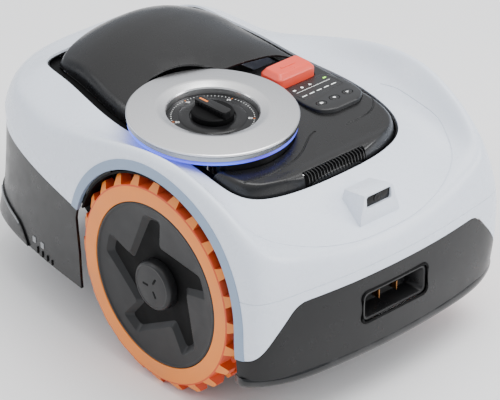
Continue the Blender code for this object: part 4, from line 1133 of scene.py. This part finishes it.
def wheel(label, side):
    half = WHEEL_WIDTH / 2
    centre = (side * (WHEEL_FACE_X - half), 0, WHEEL_RADIUS)
    lay = (0, side * math.radians(90), 0)
    body = "wheel_" + label
    h = half / MM
    settle(place(tyre(label, half), centre, lay), body, ["tyre_" + label])
    dish = [(87.0, h - 1.6), (86.2, h - 0.5), (84.6, h - 0.3), (83.0, h - 1.4), (80, h - 2.0), (66, h - 2.8),
            (40, h - 3.5), (9, h - 3.5), (9, -h + 2), (40, -h + 2), (78, h - 18), (84, -h + 4),
            (87.0, -h + 4)]
    rim = revolve("rim_skin_" + label, mm(dish), DISH, 160, smooth=30)
    floor = half - RECESS_DEPTH
    levels = ((star_outline(), floor), (star_outline(RECESS_FLARE), half - 0.5 * MM))
    recess = loft("recess", [np.c_[flat, np.full(len(flat), level)] for flat, level in levels], None)
    carve(rim, [recess], angle=28)
    rim.data.materials.append(DARK)
    for face in rim.data.polygons:
        if abs(face.center.z - floor) < 0.3 * MM and abs(face.normal.z) > 0.9:
            face.material_index = 1
    soften(rim, 0.9 * MM, 3, 16)
    settle(place(rim, centre, lay), body, ["wheel_rim_" + label])
    profile = [(25.6, h - 7.8), (26.0, h - 4), (25.9, h + 0.4), (25.2, h + 1.9), (23.8, h + 3.1),
               (22.4, h + 3.5), (21.4, h + 3.2), (20.6, h + 3.3), (10, h + 3.7), (0.5, h + 3.8)]
    cap = revolve("hub_skin_" + label, mm(profile), DISH, 96, closed=False, smooth=30)
    settle(place(cap, centre, lay), body, ["hub_cap_" + label])
    spokes = []
    for i in range(3):
        turn = math.radians(90 + 120 * i)
        c, s = math.cos(turn), math.sin(turn)
        bar = rounded(8 * MM, 2.2 * MM, 1 * MM, (8.5 * MM, 0), 4)
        outline = [(u * c - v * s, u * s + v * c) for u, v in bar]
        spokes.append(prism(f"spoke_{i}", outline, half + 3.2 * MM, half + 3.95 * MM, DARK))
    settle(place(join("hub_mark_" + label, spokes), centre, lay), body)


# ---------------------------------------------------------------- underside and frame nodes

def screws():
    """Screw heads under the chassis pan and the battery cover."""
    pan = ((-98, -96), (98, -96), (-98, 80), (98, 80), (-50, -120), (50, -120))
    cover = ((-46, 121), (46, 121), (-46, 169), (46, 169))
    heads = []
    for node, spots, profile in (
            ("chassis_pan", pan, ((3.6, 0), (3.6, -0.8), (2.8, -1.6), (0.4, -1.7))),
            ("battery_cover", cover, ((3.0, 0.2), (3.0, -0.6), (2.2, -1.2), (0.4, -1.3)))):
        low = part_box(node)[0].z
        for x, y in spots:
            head = revolve(f"head_{len(heads)}", mm(profile), STEEL, 24, closed=False)
            heads.append(place(head, (x * MM, y * MM, low)))
    settle(join("underside_screws", heads), "chassis")


def dress(finishes):
    """Give the frame's own nodes their materials, with faceted round faces shaded smooth."""
    for finish, nodes in finishes:
        for node in nodes:
            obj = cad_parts[node]
            obj.data.materials.clear()
            obj.data.materials.append(finish)
            obj.data.shade_smooth()
            weld = obj.modifiers.new("weld", "WELD")
            weld.merge_threshold = 0.00001
            split = obj.modifiers.new("split", "EDGE_SPLIT")
            split.split_angle = math.radians(32)


def frame_finishes():
    dress([
        (DARK, ["hood_frame", "arch_liner_left", "arch_liner_right", "rear_tyre"]),
        (BLACK, ["caster_fork", "battery_cover", "disc_guard"]),
        (HOOD, ["rear_hub", "gnss_antenna"]),
        (STEEL, ["axle_left", "axle_right", "rear_axle", "lift_spindle", "guide_post"]
         + [f"{kind}_{i}" for kind in ("blade", "blade_screw") for i in (1, 2, 3)]),
        (ZINC, ["drive_motor_left", "drive_motor_right", "cutting_motor"]),
        (CAST, ["height_carriage"]),
        (TURNED, ["blade_disc"]),
        (CHASSIS, ["chassis_pan"]),
        (SLEEVE, ["battery_pack"]),
        (BOARD, ["main_board"]),
    ])


# ---------------------------------------------------------------- stage

def area_light(name, location, target, size, energy, color=(1, 1, 1)):
    data = bpy.data.lights.new(name, "AREA")
    data.shape = "RECTANGLE"
    data.size, data.size_y = size
    data.energy = energy
    data.color = color
    light = bpy.data.objects.new(name, data)
    light.location = location
    light.rotation_euler = (Vector(target) - Vector(location)).to_track_quat("-Z", "Y").to_euler()
    bpy.context.scene.collection.objects.link(light)


def stage():
    made, tree, shader = shader_of("mat_floor", 0.7)
    tone = two_tones(tree, spread(tree, noise(tree, 3, 2), 0, 1), (0.90, 0.90, 0.905), (0.92, 0.92, 0.925))
    tree.links.new(tone, shader.inputs["Base Color"])
    floor = add_object("floor", [(-6, -6, 0), (6, -6, 0), (6, 6, 0), (-6, 6, 0)], [(0, 1, 2, 3)], made)
    world = bpy.data.worlds.new("studio")
    bpy.context.scene.world = world
    world.use_nodes = True
    tree = world.node_tree
    background = tree.nodes["Background"]
    place_at = tree.nodes.new("ShaderNodeTexCoord")
    parts = tree.nodes.new("ShaderNodeSeparateXYZ")
    tree.links.new(place_at.outputs["Generated"], parts.inputs[0])
    sky = spread(tree, parts.outputs["Z"], 0, 1, -0.05, 0.85)
    tree.links.new(two_tones(tree, sky, (0.30, 0.33, 0.38), (1.0, 1.0, 1.0)), background.inputs["Color"])
    background.inputs["Strength"].default_value = 1.5
    area_light("top_box", (0.3, -0.5, 1.9), (0, 0, 0.1), (1.4, 1.4), 34)
    area_light("front_box", (1.6, -1.9, 1.1), (0, 0, 0.15), (1.0, 1.0), 26)
    area_light("side_strip", (-1.7, 1.3, 1.2), (0, 0.05, 0.2), (0.4, 1.4), 10)


def camera():
    data = bpy.data.cameras.new("camera")
    data.lens = CAMERA_LENS
    data.sensor_width = 36
    obj = bpy.data.objects.new("camera", data)
    x, y, z = CAMERA_PLACE
    obj.location = (x, y + AXLE_Y, z)
    obj.rotation_euler = (math.radians(CAMERA_TILT), 0, math.radians(CAMERA_TURN))
    bpy.context.scene.collection.objects.link(obj)
    bpy.context.scene.camera = obj


camera()
stage()
top_shell()
arch_lips()
front_bumper()
bumper_strip()
charging_port()
rear_skirt()
skirt_step()
hood()
console()
opening_trim()
vent()
dial()
dial_face()
knob()
stop_button()
keypad()
lamps()
camera_pod()
for wheel_side, wheel_label in SIDES:
    wheel(wheel_label, wheel_side)
screws()
frame_finishes()
